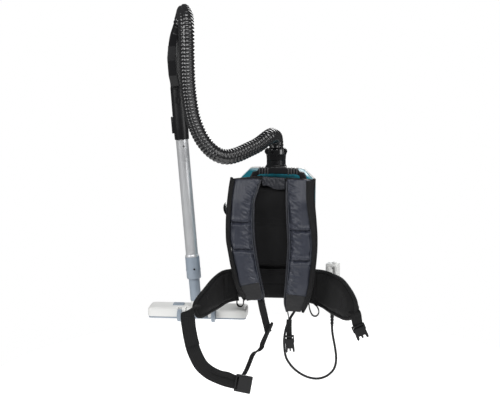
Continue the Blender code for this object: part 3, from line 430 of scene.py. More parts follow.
def to_object(name: str, mesh: bmesh.types.BMesh, sharp: float = HARD_EDGE) -> bpy.types.Object:
    """Turns a bmesh into an object shaded smooth, with edges over an angle kept sharp.

    Args:
        name: the piece's name.
        mesh: the shape, which is used up.
        sharp: the angle in degrees.

    Returns:
        The new object, at the origin.
    """
    data = bpy.data.meshes.new(name)
    mesh.to_mesh(data)
    mesh.free()
    data.shade_smooth()
    data.set_sharp_from_angle(angle=radians(sharp))
    return bare(bpy.data.objects.new(name, data))


def dress(obj: bpy.types.Object, finish: object, body: str = "root",
          instead_of: Sequence[str] = ()) -> bpy.types.Object:
    """Gives a piece its finish, the body it rides and the CAD nodes it stands for.

    Args:
        obj: the piece.
        finish: a slot or a finish.
        body: the body it rides.
        instead_of: the CAD nodes it stands for.

    Returns:
        The same piece.
    """
    obj.data.materials.clear()
    obj.data.materials.append(Paints.of(finish))
    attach(obj, body)
    if instead_of:
        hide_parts(*instead_of)
    LOG.info("%s on %s", obj.name, body)
    return obj


def baked(obj: bpy.types.Object) -> bmesh.types.BMesh:
    """An object's shape with its modifiers applied, as a bmesh; the object is removed.

    Args:
        obj: the object to use up.

    Returns:
        Its finished shape.
    """
    graph = bpy.context.evaluated_depsgraph_get()
    result = obj.evaluated_get(graph)
    mesh = bmesh.new()
    mesh.from_mesh(result.to_mesh())
    result.to_mesh_clear()
    old = obj.data
    bpy.data.objects.remove(obj, do_unlink=True)
    bpy.data.meshes.remove(old)
    return mesh


def copied(node: str) -> bmesh.types.BMesh:
    """A CAD node's shape with its loose triangles merged.

    Args:
        node: the CAD node's name.

    Returns:
        A new shape, which may be changed.
    """
    mesh = bmesh.new()
    mesh.from_mesh(frame["nodes"][node].data)
    bmesh.ops.remove_doubles(mesh, verts=mesh.verts, dist=0.01 * MM)
    return mesh


def smoothed(mesh: bmesh.types.BMesh, times: int, share: float = 0.5) -> None:
    """Relaxes every vertex towards its neighbours."""
    for _ in range(times):
        bmesh.ops.smooth_vert(mesh, verts=mesh.verts, factor=share, use_axis_x=True, use_axis_y=True, use_axis_z=True)


def remeshed(mesh: bmesh.types.BMesh, voxel: float) -> bmesh.types.BMesh:
    """An even skin of small squares over a shape.

    Args:
        mesh: the shape, which is used up.
        voxel: the size of the squares.

    Returns:
        The skin.
    """
    guide = to_object("guide", mesh)
    change = guide.modifiers.new("skin", "REMESH")
    change.mode = "VOXEL"
    change.voxel_size = voxel
    return baked(guide)


def softened(name: str, node: str, finish: object, voxel: float, times: int = 3, body: str = "root",
             before: Optional[Callable[[bmesh.types.BMesh], None]] = None) -> bpy.types.Object:
    """A moulded piece with rounded edges and blended joins, made over the CAD node that it stands for.

    Args:
        name: the piece's name.
        node: the CAD node.
        finish: its finish, which is also its slot.
        voxel: the size of the skin's squares.
        times: how often the skin is relaxed.
        body: the body it rides.
        before: a change to the node's shape before the skin is made.

    Returns:
        The dressed piece.
    """
    mesh = copied(node)
    if before:
        before(mesh)
    mesh = remeshed(mesh, voxel)
    smoothed(mesh, times)
    return dress(to_object(name, mesh, SOFT_EDGE), finish, body=body, instead_of=[node])


def edged(name: str, node: str, finish: object, width: float, body: str = "root") -> bpy.types.Object:
    """A CAD node with its sharp edges eased, which stands for the node.

    Args:
        name: the piece's name.
        node: the CAD node.
        finish: its finish, which is also its slot.
        width: how far each edge is cut back.
        body: the body it rides.

    Returns:
        The dressed piece.
    """
    mesh = copied(node)
    bmesh.ops.dissolve_limit(mesh, angle_limit=radians(1.0), verts=mesh.verts, edges=mesh.edges)
    crisp = [e for e in mesh.edges if len(e.link_faces) == 2 and e.calc_face_angle(0.0) > radians(HARD_EDGE)
             and e.calc_length() > 3 * width]
    bmesh.ops.bevel(mesh, geom=crisp, offset=width, offset_type="OFFSET", segments=2, profile=0.5, affect="EDGES",
                    clamp_overlap=True, material=-1)
    return dress(to_object(name, mesh, STRAP_EDGE), finish, body=body, instead_of=[node])


def even_points(route: Sequence[Point], count: int) -> list[Vector]:
    """Evenly spaced points of the smooth curve through a route's own points.

    Args:
        route: the points that the curve passes through.
        count: how many points to return.

    Returns:
        The points, first and last included.
    """
    points = [Vector(p) for p in route]
    ends = [2 * points[0] - points[1]] + points + [2 * points[-1] - points[-2]]
    dense = []
    for a, b, c, d in zip(ends, ends[1:], ends[2:], ends[3:]):
        for step in range(24):
            t = step / 24
            dense.append(0.5 * (2 * b + (c - a) * t + (2 * a - 5 * b + 4 * c - d) * t * t
                                + (3 * b - a - 3 * c + d) * t ** 3))
    dense.append(points[-1])
    lengths = [0.0]
    for a, b in zip(dense, dense[1:]):
        lengths.append(lengths[-1] + (b - a).length)
    result = []
    at = 0
    for n in range(count):
        want = lengths[-1] * n / (count - 1)
        while at < len(lengths) - 2 and lengths[at + 1] < want:
            at += 1
        share = (want - lengths[at]) / max(lengths[at + 1] - lengths[at], 1e-9)
        result.append(dense[at].lerp(dense[at + 1], min(share, 1.0)))
    return result


@dataclass
class Path:
    """A smooth line with a side direction that either turns with it or keeps facing one way."""

    route: Sequence[Point]
    side: Point = (1.0, 0.0, 0.0)
    steady: bool = False
    count: int = 120
    closed: bool = False
    points: list[Vector] = field(init=False)
    sides: list[Vector] = field(init=False)

    def __post_init__(self) -> None:
        """Works out the line's points and the side direction at each."""
        route = list(self.route)
        if self.closed:
            route = route + [route[0]]
        self.points = even_points(route, self.count)
        side = Vector(self.side)
        self.sides = []
        for n in range(self.count):
            along = self.heading(n)
            if self.steady:
                side = Vector(self.side)
            side = (side - along * side.dot(along)).normalized()
            self.sides.append(side.copy())

    def heading(self, n: int) -> Vector:
        """The line's direction at one of its points.

        Args:
            n: the point's number.

        Returns:
            The direction, of length 1.
        """
        if self.closed and n in (0, self.count - 1):
            return (self.points[1] - self.points[-2]).normalized()
        return (self.points[min(n + 1, self.count - 1)] - self.points[max(n - 1, 0)]).normalized()

    def length(self) -> float:
        """The line's length."""
        return sum((b - a).length for a, b in zip(self.points, self.points[1:]))

    def at(self, share: float) -> tuple[Vector, Vector, Vector]:
        """The point, side and outward direction at a share of the line.

        Args:
            share: how far along, from 0 to 1.

        Returns:
            The three vectors.
        """
        spot = min(max(share, 0.0), 1.0) * (self.count - 1)
        low = min(int(spot), self.count - 2)
        part = spot - low
        point = self.points[low].lerp(self.points[low + 1], part)
        side = self.sides[low].lerp(self.sides[low + 1], part).normalized()
        along = self.heading(low).lerp(self.heading(low + 1), part).normalized()
        return point, side, along.cross(side).normalized()


Section = Callable[[float, float], tuple[float, float]]
ACROSS: Point = (1.0, 0.0, 0.0)
FACING: Point = (-1.0, 0.0, 0.0)
DEEP: Point = (0.0, 1.0, 0.0)


def sweep(path: Path, section: Section, steps: int, sides: int) -> bmesh.types.BMesh:
    """A closed skin drawn along a path, with a UV map in metres along and around it.

    Args:
        path: the line to follow.
        section: gives the offsets to the side and outwards from a share along and an angle around.
        steps: rows of faces along the path.
        sides: faces around it.

    Returns:
        The shape, capped at both ends.
    """
    mesh = bmesh.new()
    layer = mesh.loops.layers.uv.new("UVMap")
    bmesh.ops.create_grid(mesh, x_segments=steps, y_segments=sides, size=0.5, calc_uvs=True)
    length = path.length()
    wide = max(abs(section(0.5, n * pi / 8)[0]) for n in range(16)) * 2
    for face in mesh.faces:
        for loop in face.loops:
            spot = loop.vert.co
            loop[layer].uv = ((spot.x + 0.5) * length, (spot.y + 0.5) * wide * 2)
    for vert in mesh.verts:
        share, angle = vert.co.x + 0.5, (vert.co.y + 0.5) * 2 * pi
        point, side, out = path.at(share)
        a, b = section(share, angle)
        vert.co = point + side * a + out * b
    bmesh.ops.remove_doubles(mesh, verts=mesh.verts, dist=0.002 * MM)
    bmesh.ops.holes_fill(mesh, edges=[e for e in mesh.edges if e.is_boundary], sides=0)
    bmesh.ops.recalc_face_normals(mesh, faces=mesh.faces)
    return mesh


def squared(value: float, power: float) -> float:
    """A sine or cosine pushed towards its ends, which squares a round outline."""
    return copysign(abs(value) ** power, value)


def flat_section(width: float, thick: float, bow: float = 0.0, ruck: float = 0.0, seed: float = 0.0) -> Section:
    """The outline of a strap: flat faces, rounded edges, a slight bow and a little unevenness along it.

    Args:
        width: across the strap.
        thick: its thickness.
        bow: how far its middle stands out.
        ruck: how uneven it is.
        seed: where the unevenness starts.

    Returns:
        The outline, for sweep.
    """

    def outline(share: float, angle: float) -> tuple[float, float]:
        """One point of the strap's outline.

        Args:
            share: how far along, from 0 to 1.
            angle: how far round, in radians.

        Returns:
            The offsets to the side and outwards.
        """
        a = squared(cos(angle), 0.35) * width / 2
        b = squared(sin(angle), 0.6) * thick / 2
        rim = 1.0 + 0.10 * (abs(cos(angle)) > 0.85)
        lift = bow * (1 - (2 * a / width) ** 2)
        wobble = ruck * noise.noise(Vector((share * 9 + seed, a * 30, seed)))
        return a, b * rim + lift + wobble

    return outline


def round_section(radius: float, other: Optional[float] = None) -> Section:
    """The outline of a round or oval cord."""
    return lambda share, angle: (radius * cos(angle), (other or radius) * sin(angle))


def swept(name: str, path: Path, section: Section, steps: int, sides: int, finish: object,
          instead_of: Sequence[str] = (), sharp: float = SOFT_EDGE) -> bpy.types.Object:
    """A fixed piece drawn along a path and dressed."""
    return dress(to_object(name, sweep(path, section, steps, sides), sharp), finish, instead_of=instead_of)


def strap(name: str, route: Sequence[Point], width: float, side: Point, thick: float = 1.8 * MM, bow: float = 0.0,
          ruck: float = 0.6 * MM, instead_of: Sequence[str] = (), steps: int = 70) -> bpy.types.Object:
    """Woven webbing along a route, facing one way.

    Args:
        name: the piece's name, whose length sets where its unevenness starts.
        route: the points its middle passes through.
        width: across the webbing.
        side: the direction of its width.
        thick: its thickness.
        bow: how far its middle stands out.
        ruck: how uneven it is.
        instead_of: the CAD nodes that it stands for.
        steps: rows of faces along it.

    Returns:
        The dressed strap.
    """
    section = flat_section(width, thick, bow, ruck, len(name) * 0.37)
    return swept(name, Path(route, side, True), section, steps, 28, Slot.WEBBING, instead_of, STRAP_EDGE)


def block(size: Point, centre: Point, bevel: float) -> bmesh.types.BMesh:
    """A box with rounded edges.

    Args:
        size: length along each axis.
        centre: its middle.
        bevel: how far each edge is cut back.

    Returns:
        The shape.
    """
    mesh = bmesh.new()
    bmesh.ops.create_cube(mesh, size=1.0, matrix=Matrix.Translation(centre) @ Matrix.Diagonal((*size, 1.0)))
    bmesh.ops.bevel(mesh, geom=mesh.edges[:], offset=bevel, segments=3, profile=0.5, affect="EDGES",
                    clamp_overlap=True, material=-1)
    return mesh


def turned(profile: Sequence[tuple[float, float]], sides: int = 32) -> bmesh.types.BMesh:
    """A solid of revolution about Z from (radius, height) points.

    Args:
        profile: the outline's points; one that keeps off the axis is closed into a ring.
        sides: faces around it.

    Returns:
        The shape, with its faces pointing outwards.
    """
    mesh = bmesh.new()
    points = [mesh.verts.new((radius, 0.0, height)) for radius, height in profile]
    pairs = list(zip(points, points[1:]))
    if all(radius > 0 for radius, _ in profile):
        pairs.append((points[-1], points[0]))
    edges = [mesh.edges.new(pair) for pair in pairs]
    bmesh.ops.spin(mesh, geom=points + edges, cent=(0, 0, 0), axis=(0, 0, 1), angle=2 * pi, steps=sides,
                   use_merge=True)
    bmesh.ops.remove_doubles(mesh, verts=mesh.verts, dist=0.001 * MM)
    bmesh.ops.recalc_face_normals(mesh, faces=mesh.faces)
    return mesh


def joined(parts: Iterable[bmesh.types.BMesh]) -> bmesh.types.BMesh:
    """Several shapes as one mesh; the parts are used up.

    Args:
        parts: the shapes.

    Returns:
        The joined shape.
    """
    whole = bmesh.new()
    for part in parts:
        data = bpy.data.meshes.new("part")
        part.to_mesh(data)
        part.free()
        whole.from_mesh(data)
        bpy.data.meshes.remove(data)
    return whole


def moved(mesh: bmesh.types.BMesh, place: Point, turn: Optional[Quaternion] = None) -> bmesh.types.BMesh:
    """A shape turned about the origin and then moved.

    Args:
        mesh: the shape.
        place: where its origin goes.
        turn: how it is turned first.

    Returns:
        The same shape.
    """
    matrix = Matrix.Translation(place) @ (turn.to_matrix().to_4x4() if turn else Matrix.Identity(4))
    bmesh.ops.transform(mesh, matrix=matrix, verts=mesh.verts)
    return mesh


def bump_at(value: float, centre: float, width: float) -> float:
    """A smooth hump of height 1."""
    return exp(-((value - centre) / width) ** 2)


def level(table: Sequence[tuple[float, ...]], z: float) -> tuple[float, ...]:
    """Values between the rows of a table whose first column falls.

    Args:
        table: the rows, each with its height first.
        z: the height to look up.

    Returns:
        The row's other values, blended between the two rows around the height.
    """
    if z >= table[0][0]:
        return table[0][1:]
    for upper, lower in zip(table, table[1:]):
        if z >= lower[0]:
            share = (z - lower[0]) / (upper[0] - lower[0])
            return tuple(b + (a - b) * share for a, b in zip(upper[1:], lower[1:]))
    return table[-1][1:]


@dataclass
class Stuffing:
    """How a padded piece is filled: skin size, air pressure and how far its skin may move."""

    voxel: float = 4.5 * MM
    pressure: float = 4.0
    cap: float = 5.0 * MM
    shrink: float = 1.2 * MM
    refine: int = 2
    frames: int = 20

    def fill(self, node: str) -> bmesh.types.BMesh:
        """Puffs up a CAD node's shape.

        Args:
            node: the CAD node to start from.

        Returns:
            The crowned skin, subdivided.
        """
        mesh = copied(node)
        mesh.normal_update()
        for vert in mesh.verts:
            vert.co -= vert.normal * self.shrink
        mesh = remeshed(mesh, self.voxel)
        smoothed(mesh, 2)
        mesh = self.inflate(mesh)
        for _ in range(self.refine):
            bmesh.ops.subdivide_edges(mesh, edges=mesh.edges, cuts=1, use_grid_fill=True, smooth=0.0)
            smoothed(mesh, 1)
        mesh.normal_update()
        return mesh

    def inflate(self, mesh: bmesh.types.BMesh) -> bmesh.types.BMesh:
        """Runs the cloth and returns the skin, with no point further than the cap from where it was.

        Args:
            mesh: the skin, which is used up.

        Returns:
            The puffed skin.
        """
        skin = to_object("skin", mesh)
        before = [v.co.copy() for v in skin.data.vertices]
        cloth = skin.modifiers.new("cloth", "CLOTH")
        cloth.settings.use_pressure = True
        cloth.settings.uniform_pressure_force = self.pressure
        cloth.settings.effector_weights.gravity = 0.0
        cloth.settings.quality = 4
        cloth.point_cache.frame_end = self.frames
        for step in range(1, self.frames + 1):
            bpy.context.scene.frame_set(step)
        result = baked(skin)
        result.verts.ensure_lookup_table()
        for vert, start in zip(result.verts, before):
            step_out = vert.co - start
            if step_out.length > self.cap:
                vert.co = start + step_out.normalized() * self.cap
        bpy.context.scene.frame_set(1)
        return result


def sculpt(mesh: bmesh.types.BMesh, lift: Callable[[Vector, Vector], float]) -> None:
    """Moves every vertex along its normal by what lift gives for its place and normal.

    Args:
        mesh: the shape to change.
        lift: gives the distance for a place and a normal.
    """
    mesh.normal_update()
    moves = [(v, v.normal * lift(v.co, v.normal)) for v in mesh.verts]
    for vert, move in moves:
        vert.co += move


# ---------------------------------------------------------------- hose and cord


HOSE_ROUTE: tuple[Point, ...] = (
    (0.000, 0.092, 0.2036), (0.000, 0.092, 0.222), (0.000, 0.0915, 0.240), (-0.001, 0.084, 0.259),
    (-0.003, 0.067, 0.272), (-0.009, 0.044, 0.277), (-0.020, 0.020, 0.272), (-0.045, -0.005, 0.2535),
    (-0.071, -0.025, 0.241), (-0.097, -0.045, 0.230), (-0.1225, -0.060, 0.2245), (-0.145, -0.067, 0.229),
    (-0.168, -0.070, 0.244), (-0.188, -0.073, 0.268), (-0.2035, -0.077, 0.298), (-0.216, -0.082, 0.336),
    (-0.223, -0.089, 0.384), (-0.226, -0.096, 0.432), (-0.2265, -0.103, 0.495), (-0.2265, -0.104, 0.535),
    (-0.228, -0.0975, 0.571), (-0.233, -0.077, 0.600), (-0.2405, -0.042, 0.6130), (-0.2475, -0.008, 0.6150),
    (-0.2545, 0.021, 0.6085), (-0.2606, 0.0363, 0.5976), (-0.26643, 0.04174, 0.58264),
)
CORD_ROUTE: tuple[Point, ...] = (
    (0.1655, 0.0200, -0.2632), (0.1665, 0.0200, -0.2810), (0.1695, 0.0205, -0.3000), (0.1760, 0.0210, -0.3345),
    (0.1785, 0.0230, -0.3650), (0.1735, 0.0260, -0.3915), (0.1600, 0.0295, -0.4100), (0.1430, 0.0325, -0.4215),
    (0.1240, 0.0360, -0.4270), (0.1010, 0.0395, -0.4255), (0.0770, 0.0435, -0.4165), (0.0550, 0.0470, -0.4010),
    (0.0400, 0.0500, -0.3830), (0.0315, 0.0520, -0.3650), (0.0275, 0.0550, -0.3350), (0.0275, 0.0570, -0.3140),
    (0.0325, 0.0610, -0.2850), (0.0435, 0.0650, -0.2570), (0.0565, 0.0695, -0.2370), (0.0617, 0.0718, -0.2240),
    (0.0620, 0.0720, -0.2167),
)


@dataclass
class Hose:
    """The ribbed suction hose, from the lock ring on the pack to the handle."""

    radius: float = 21.2 * MM
    root: float = 19.3 * MM
    pitch: float = 9.3 * MM
    rows_per_rib: int = 8
    sides: int = 48
    seam_height: float = -0.3 * MM
    seam_half: float = 0.15
    seam_fade: float = 0.08
    seam_at: float = 0.62
    seam_faces: Point = (-0.25, -0.97, 0.0)

    def build(self) -> None:
        path = Path(HOSE_ROUTE, ACROSS, count=200)
        length = path.length()
        ribs = round(length / self.pitch)

        _, side, out = path.at(self.seam_at)
        facing = Vector(self.seam_faces)
        seam = atan2(facing.dot(out), facing.dot(side)) % (2 * pi)

        def section(share: float, angle: float) -> tuple[float, float]:
            """The ribbed outline: broad rounded crests with narrow grooves, and a flat seam along it.

            Args:
                share: how far along, from 0 to 1.
                angle: how far round, in radians.

            Returns:
                The offsets to the side and outwards.
            """
            wave = 0.5 - 0.5 * cos(2 * pi * (share * ribs))
            radius = self.root + (self.radius - self.root) * wave ** 0.6
            off = abs((angle - seam + pi) % (2 * pi) - pi)
            flat = max(0.0, min(1.0, (self.seam_half - off) / self.seam_fade))
            radius += (self.root + self.seam_height - radius) * flat
            return radius * cos(angle), radius * sin(angle)

        hose = swept("ribbed_hose", path, section, ribs * self.rows_per_rib, self.sides, HoseSkin(),
                     ["suction_hose"])


@dataclass(frozen=True)
class HoseSkin:
    """Glossy hose plastic with a cloudy tone."""

    name: str = "hose_plastic"
    colour: Colour = (0.009, 0.009, 0.010)

    def material(self) -> bpy.types.Material:
        """Builds the material.

        Returns:
            The new material.
        """
        graph = Graph(self.name)
        at = graph.place()
        cloud = graph.noise(at, 60.0, 4.0, 0.6)
        colour = graph.blend(cloud, shade(self.colour, 0.7), shade(self.colour, 1.6))
        rough = graph.span(cloud, 0.3, 0.7, 0.22, 0.32)
        graph.feed(Base_Color=colour, Roughness=rough,
                   Normal=graph.relief(graph.noise(at, 240.0, 2.0, 0.5), 0.015 * MM))
        graph.fix(Coat_Weight=0.3, Coat_Roughness=0.2, Specular_IOR_Level=0.55)
        return graph.material


@dataclass
class Cord:
    """The remote control's cord, which hangs in a loop and goes up into the base."""

    diameter: float = 7.0 * MM
    points: int = 56
    groove: float = 0.9 * MM
    plain_tip: float = 0.85

    def build(self) -> None:
        """Makes the cord, its strain relief and its gland."""
        route = even_points(CORD_ROUTE, self.points)
        data = bpy.data.curves.new("remote_cord", "CURVE")
        data.dimensions = "3D"
        data.bevel_depth = self.diameter / 2
        data.bevel_resolution = 4
        data.use_fill_caps = True
        spline = data.splines.new("POLY")
        spline.points.add(self.points - 1)
        for target, point in zip(spline.points, route):
            target.co = (*point, 1.0)
        cord = bare(bpy.data.objects.new("remote_cord", data))
        dress(cord, Slot.RUBBER, instead_of=["control_cord"])
        self.relief("ribbed_relief", "strain_relief", 6.2 * MM, 4.7 * MM, 7)
        self.relief("ribbed_gland", "cord_gland", 7.6 * MM, 5.0 * MM, 3)

    def relief(self, name: str, node: str, top: float, tip: float, rings: int) -> None:
        """A tapered rubber sleeve with rings, where the cord leaves a housing.

        Args:
            name: the piece's name.
            node: the CAD node it stands for.
            top: radius at the housing.
            tip: radius at the cord's end.
            rings: how many grooves it has.
        """
        low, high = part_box(node)
        middle = (low + high) / 2
        height = high.z - low.z
        profile = [(0.0, 0.0), (tip * 0.8, 0.0)]
        steps = rings * 6
        for n in range(steps + 1):
            share = n / steps
            ringed = max(0.0, sin(2 * pi * share * rings)) ** 0.5 if share < self.plain_tip else 0.0
            groove = self.groove * ringed
            profile.append((tip + (top - tip) * share - groove, height * share))
        profile.append((0.0, height))
        mesh = moved(turned(profile, 28), (middle.x, middle.y, low.z))
        dress(to_object(name, mesh, TURNED_EDGE), Slot.RUBBER, instead_of=[node])


# ---------------------------------------------------------------- harness


@dataclass
class ShoulderPad:
    """One padded shoulder strap: nylon panels, cross seams, edge binding, piping and a patch at its lower end.

    Each row is height, outer edge, inner edge and depth, from the top down. The tops are the heights of the top
    edge's outer and inner corners, and the bands are the edge tape's width at shares of its length.
    """

    name: str
    node: str
    rows: Sequence[tuple[float, float, float, float]]
    seams: Sequence[float]
    patch_top: float
    tops: tuple[float, float]
    bands: Sequence[tuple[float, float]]
    thick: float = 16.0 * MM
    uneven: float = 0.9 * MM
    seam_depth: float = 7.0 * MM
    seam_half: float = 3.0 * MM
    seam_sag: float = 2.0 * MM
    shoulder: float = 1.6 * MM
    pucker: float = 2.6 * MM
    pucker_reach: float = 13 * MM
    wrinkle: float = 4.2 * MM
    band_proud: float = 2.6 * MM
    patch_proud: float = 2.6 * MM

    def spot(self, z: float, share: float, proud: float) -> Point:
        """A point on the pad's front face, share of the way from its outer to its inner edge."""
        outer, inner, depth = level(self.rows, z)
        return (outer + (inner - outer) * share, depth - proud, z)

    def build(self) -> None:
        """Makes the pad and its trim."""
        mesh = Stuffing(cap=4.0 * MM).fill(self.node)
        sculpt(mesh, self.lift)
        pad = dress(to_object(self.name, mesh, CUSHION_EDGE), Slot.NYLON, instead_of=[self.node])
        heights = [self.rows[0][0] + (self.rows[-1][0] - self.rows[0][0]) * n / 16 for n in range(17)]
        outward = copysign(1.0, self.rows[0][1])
        edge = [self.spot(z, 0.0, 0.0) for z in heights]
        edge = [(x + outward * 0.4 * MM, y, z) for x, y, z in edge]
        swept(self.name + "_binding", Path(edge, DEEP, True), self.binding(self.thick * 0.52, 4.2 * MM), 120, 20,
              BINDING)
        # A darker nylon strip along the inner edge, where the pad has no binding: painted shade where the fabric turns
        # away from the light.
        inner = [self.spot(z, 0.985, 0.0) for z in heights]
        swept(self.name + "_inner_shade_strip", Path(inner, DEEP, True), self.binding(self.thick * 0.34, 3.2 * MM), 120,
              16, YOKE)
        self.edge_band(outward)
        for tag, share, size in (("outer", 0.17, 1.1 * MM), ("inner", 0.93, 0.8 * MM)):
            run = [self.spot(z, share, self.face(share) + 0.2 * MM) for z in heights[1:-2]]
            swept(f"{self.name}_{tag}_piping", Path(run, ACROSS, True), round_section(size, size * 0.8), 120, 10,
                  PIPING)
        self.top_fold()
        self.patch()

    def edge_band(self, outward: float) -> None:
        """The wide black edge tape on the front of the pad, broadest at the top.

        Args:
            outward: 1 where the pad's outer edge is at +X, else -1.
        """
        top, bottom = self.rows[0][0] - 4 * MM, self.rows[-1][0] + 8 * MM
        heights = [top + (bottom - top) * n / 24 for n in range(25)]

        def half(share: float) -> float:
            """Half the tape's width at a share of its length."""
            return level(self.bands, -share)[0] / 2

        def outline(share: float, angle: float) -> tuple[float, float]:
            """A thin sheet that turns down towards the pad's edge.

            Args:
                share: how far along, from 0 to 1.
                angle: how far round, in radians.

            Returns:
                The offsets to the side and outwards.
            """
            a = squared(cos(angle), 0.4) * half(share)
            droop = -3.6 * MM * max(0.0, (a * outward) / half(share)) ** 2
            ruck = 0.5 * MM * noise.noise(Vector((a * 110, share * 16, bottom * 60)))
            return a, squared(sin(angle), 0.6) * 0.9 * MM + droop + ruck

        run = []
        for n, z in enumerate(heights):
            outer, _, depth = level(self.rows, z)
            run.append((outer - outward * half(n / 24), depth - self.thick / 2 - self.band_proud, z))
        swept(self.name + "_edge_band", Path(run, FACING, True), outline, 120, 28, BINDING)

    def top_fold(self) -> None:
        """The dark tape folded over the pad's top edge."""
        _, outer, inner, depth = self.rows[0]
        run = [(outer + (inner - outer) * share, depth - 1.5 * MM, self.top_edge(share) - 3.0 * MM)
               for share in (-0.02, 0.25, 0.5, 0.75, 1.02)]
        swept(self.name + "_top_fold", Path(run, DEEP, True), self.binding(self.thick * 0.50, 5.4 * MM), 60, 20,
              BINDING)

    def top_edge(self, share: float) -> float:
        """Height of the pad's top edge, which slopes across it."""
        return self.tops[0] + (self.tops[1] - self.tops[0]) * share

    def face(self, share: float) -> float:
        """How proud the front face stands at a share of the width."""
        return self.thick / 2 * (1 - abs(2 * share - 1) ** 5 * 0.5) + 0.4 * MM

    def binding(self, half: float, wide: float) -> Section:
        """The outline of tape folded over an edge.

        Args:
            half: half the tape's size to the side.
            wide: half its size outwards.

        Returns:
            The outline, for sweep.
        """

        def outline(share: float, angle: float) -> tuple[float, float]:
            """A soft oval, a little uneven along the tape."""
            swell = 1 + 0.08 * noise.noise(Vector((share * 14, half * 300, wide * 500)))
            return squared(cos(angle), 0.7) * half * swell, squared(sin(angle), 0.8) * wide * swell

        return outline

    def lift(self, spot: Vector, normal: Vector) -> float:
        """How far the skin stands out or in at a point: seams, the puckers beside them, and edge wrinkles.

        Args:
            spot: a place on the skin.
            normal: the skin's normal there.

        Returns:
            The distance.
        """
        outer, inner, _ = level(self.rows, spot.z)
        share = (spot.x - outer) / (inner - outer)
        front = max(0.0, -normal.y)
        rise = self.uneven * noise.noise(Vector((spot.x * 30, 3.0, spot.z * 22)))
        for n, seam in enumerate(self.seams):
            bent = seam + 2.5 * MM * noise.noise(Vector((spot.x * 40, n * 5.0, 1.0))) - self.seam_sag * sin(pi * share)
            off = spot.z - bent
            rise -= front * self.seam_depth * exp(-abs(off / self.seam_half) ** 1.6)
            rise += front * self.shoulder * bump_at(abs(off), 9 * MM, 5 * MM)
            puckers = noise.noise(Vector((spot.x * 150 + n * 7, 0.0, spot.z * 45)))
            rise += front * self.pucker * puckers * exp(-abs(off) / self.pucker_reach)
        wrinkle = noise.noise(Vector((spot.x * 40 - spot.z * 50, 8.0, spot.z * 120 + spot.x * 75)))
        band = max(0.0, min(1.0, (share - 0.45) / 0.30))
        rise += front * self.wrinkle * wrinkle * band
        long = noise.noise(Vector((spot.x * 120, 4.0, spot.z * 18)))
        rise += front * 0.5 * MM * long
        if spot.z < self.patch_top + 2 * MM:
            rise = 0.12 * rise - front * self.shoulder
        return rise

    def patch(self) -> None:
        """The black cloth sewn over the pad's lower end."""
        bottom = self.rows[-1][0]
        heights = [self.patch_top + (bottom + 2 * MM - self.patch_top) * n / 8 for n in range(9)]

        def width(share: float) -> float:
            """Half the patch's width at a share of its length.

            Args:
                share: how far down the patch, from 0 to 1.

            Returns:
                Half the width.
            """
            z = self.patch_top + (bottom - self.patch_top) * share
            outer, inner, _ = level(self.rows, z)
            return abs(inner - outer) * 0.40

        def outline(share: float, angle: float) -> tuple[float, float]:
            """A thin crowned sheet.

            Args:
                share: how far along, from 0 to 1.
                angle: how far round, in radians.

            Returns:
                The offsets to the side and outwards.
            """
            a = squared(cos(angle), 0.4) * width(share)
            crown = 1.2 * MM * (1 - (a / width(share)) ** 2)
            ruck = 0.9 * MM * noise.noise(Vector((a * 130, share * 7, bottom * 90)))
            return a, squared(sin(angle), 0.6) * 1.0 * MM + crown + ruck

        run = [self.spot(z, 0.53, self.thick / 2 + self.patch_proud) for z in heights]
        swept(self.name + "_patch", Path(run, FACING, True), outline, 40, 40, PATCH)


RIGHT_PAD = ShoulderPad("right_shoulder_pad", "shoulder_pad_right", (
    (0.1600, -0.1187, -0.0350, 0.003), (0.128, -0.1230, -0.0450, -0.010), (0.100, -0.1250, -0.0535, -0.023),
    (0.045, -0.1280, -0.0545, -0.034), (-0.006, -0.1270, -0.0520, -0.042), (-0.065, -0.1165, -0.0435, -0.047),
    (-0.132, -0.1020, -0.0310, -0.044), (-0.162, -0.0900, -0.0250, -0.036), (-0.179, -0.0800, -0.0270, -0.030),
), (0.042, -0.033), -0.131, (0.1555, 0.1650), ((0.0, 0.010), (-0.5, 0.008), (-1.0, 0.010)))
LEFT_PAD = ShoulderPad("left_shoulder_pad", "shoulder_pad_left", (
    (0.158, 0.1110, 0.0335, 0.003), (0.130, 0.1095, 0.0345, -0.010), (0.102, 0.1095, 0.0345, -0.023),
    (0.028, 0.1170, 0.0385, -0.036), (-0.018, 0.1190, 0.0420, -0.042), (-0.064, 0.1165, 0.0395, -0.047),
    (-0.130, 0.1085, 0.0350, -0.044), (-0.174, 0.0990, 0.0320, -0.038), (-0.200, 0.0900, 0.0330, -0.031),
    (-0.211, 0.0830, 0.0380, -0.029),
), (0.0215, -0.061), -0.160, (0.1560, 0.1600), ((0.0, 0.021), (-0.25, 0.017), (-0.45, 0.010), (-1.0, 0.009)))


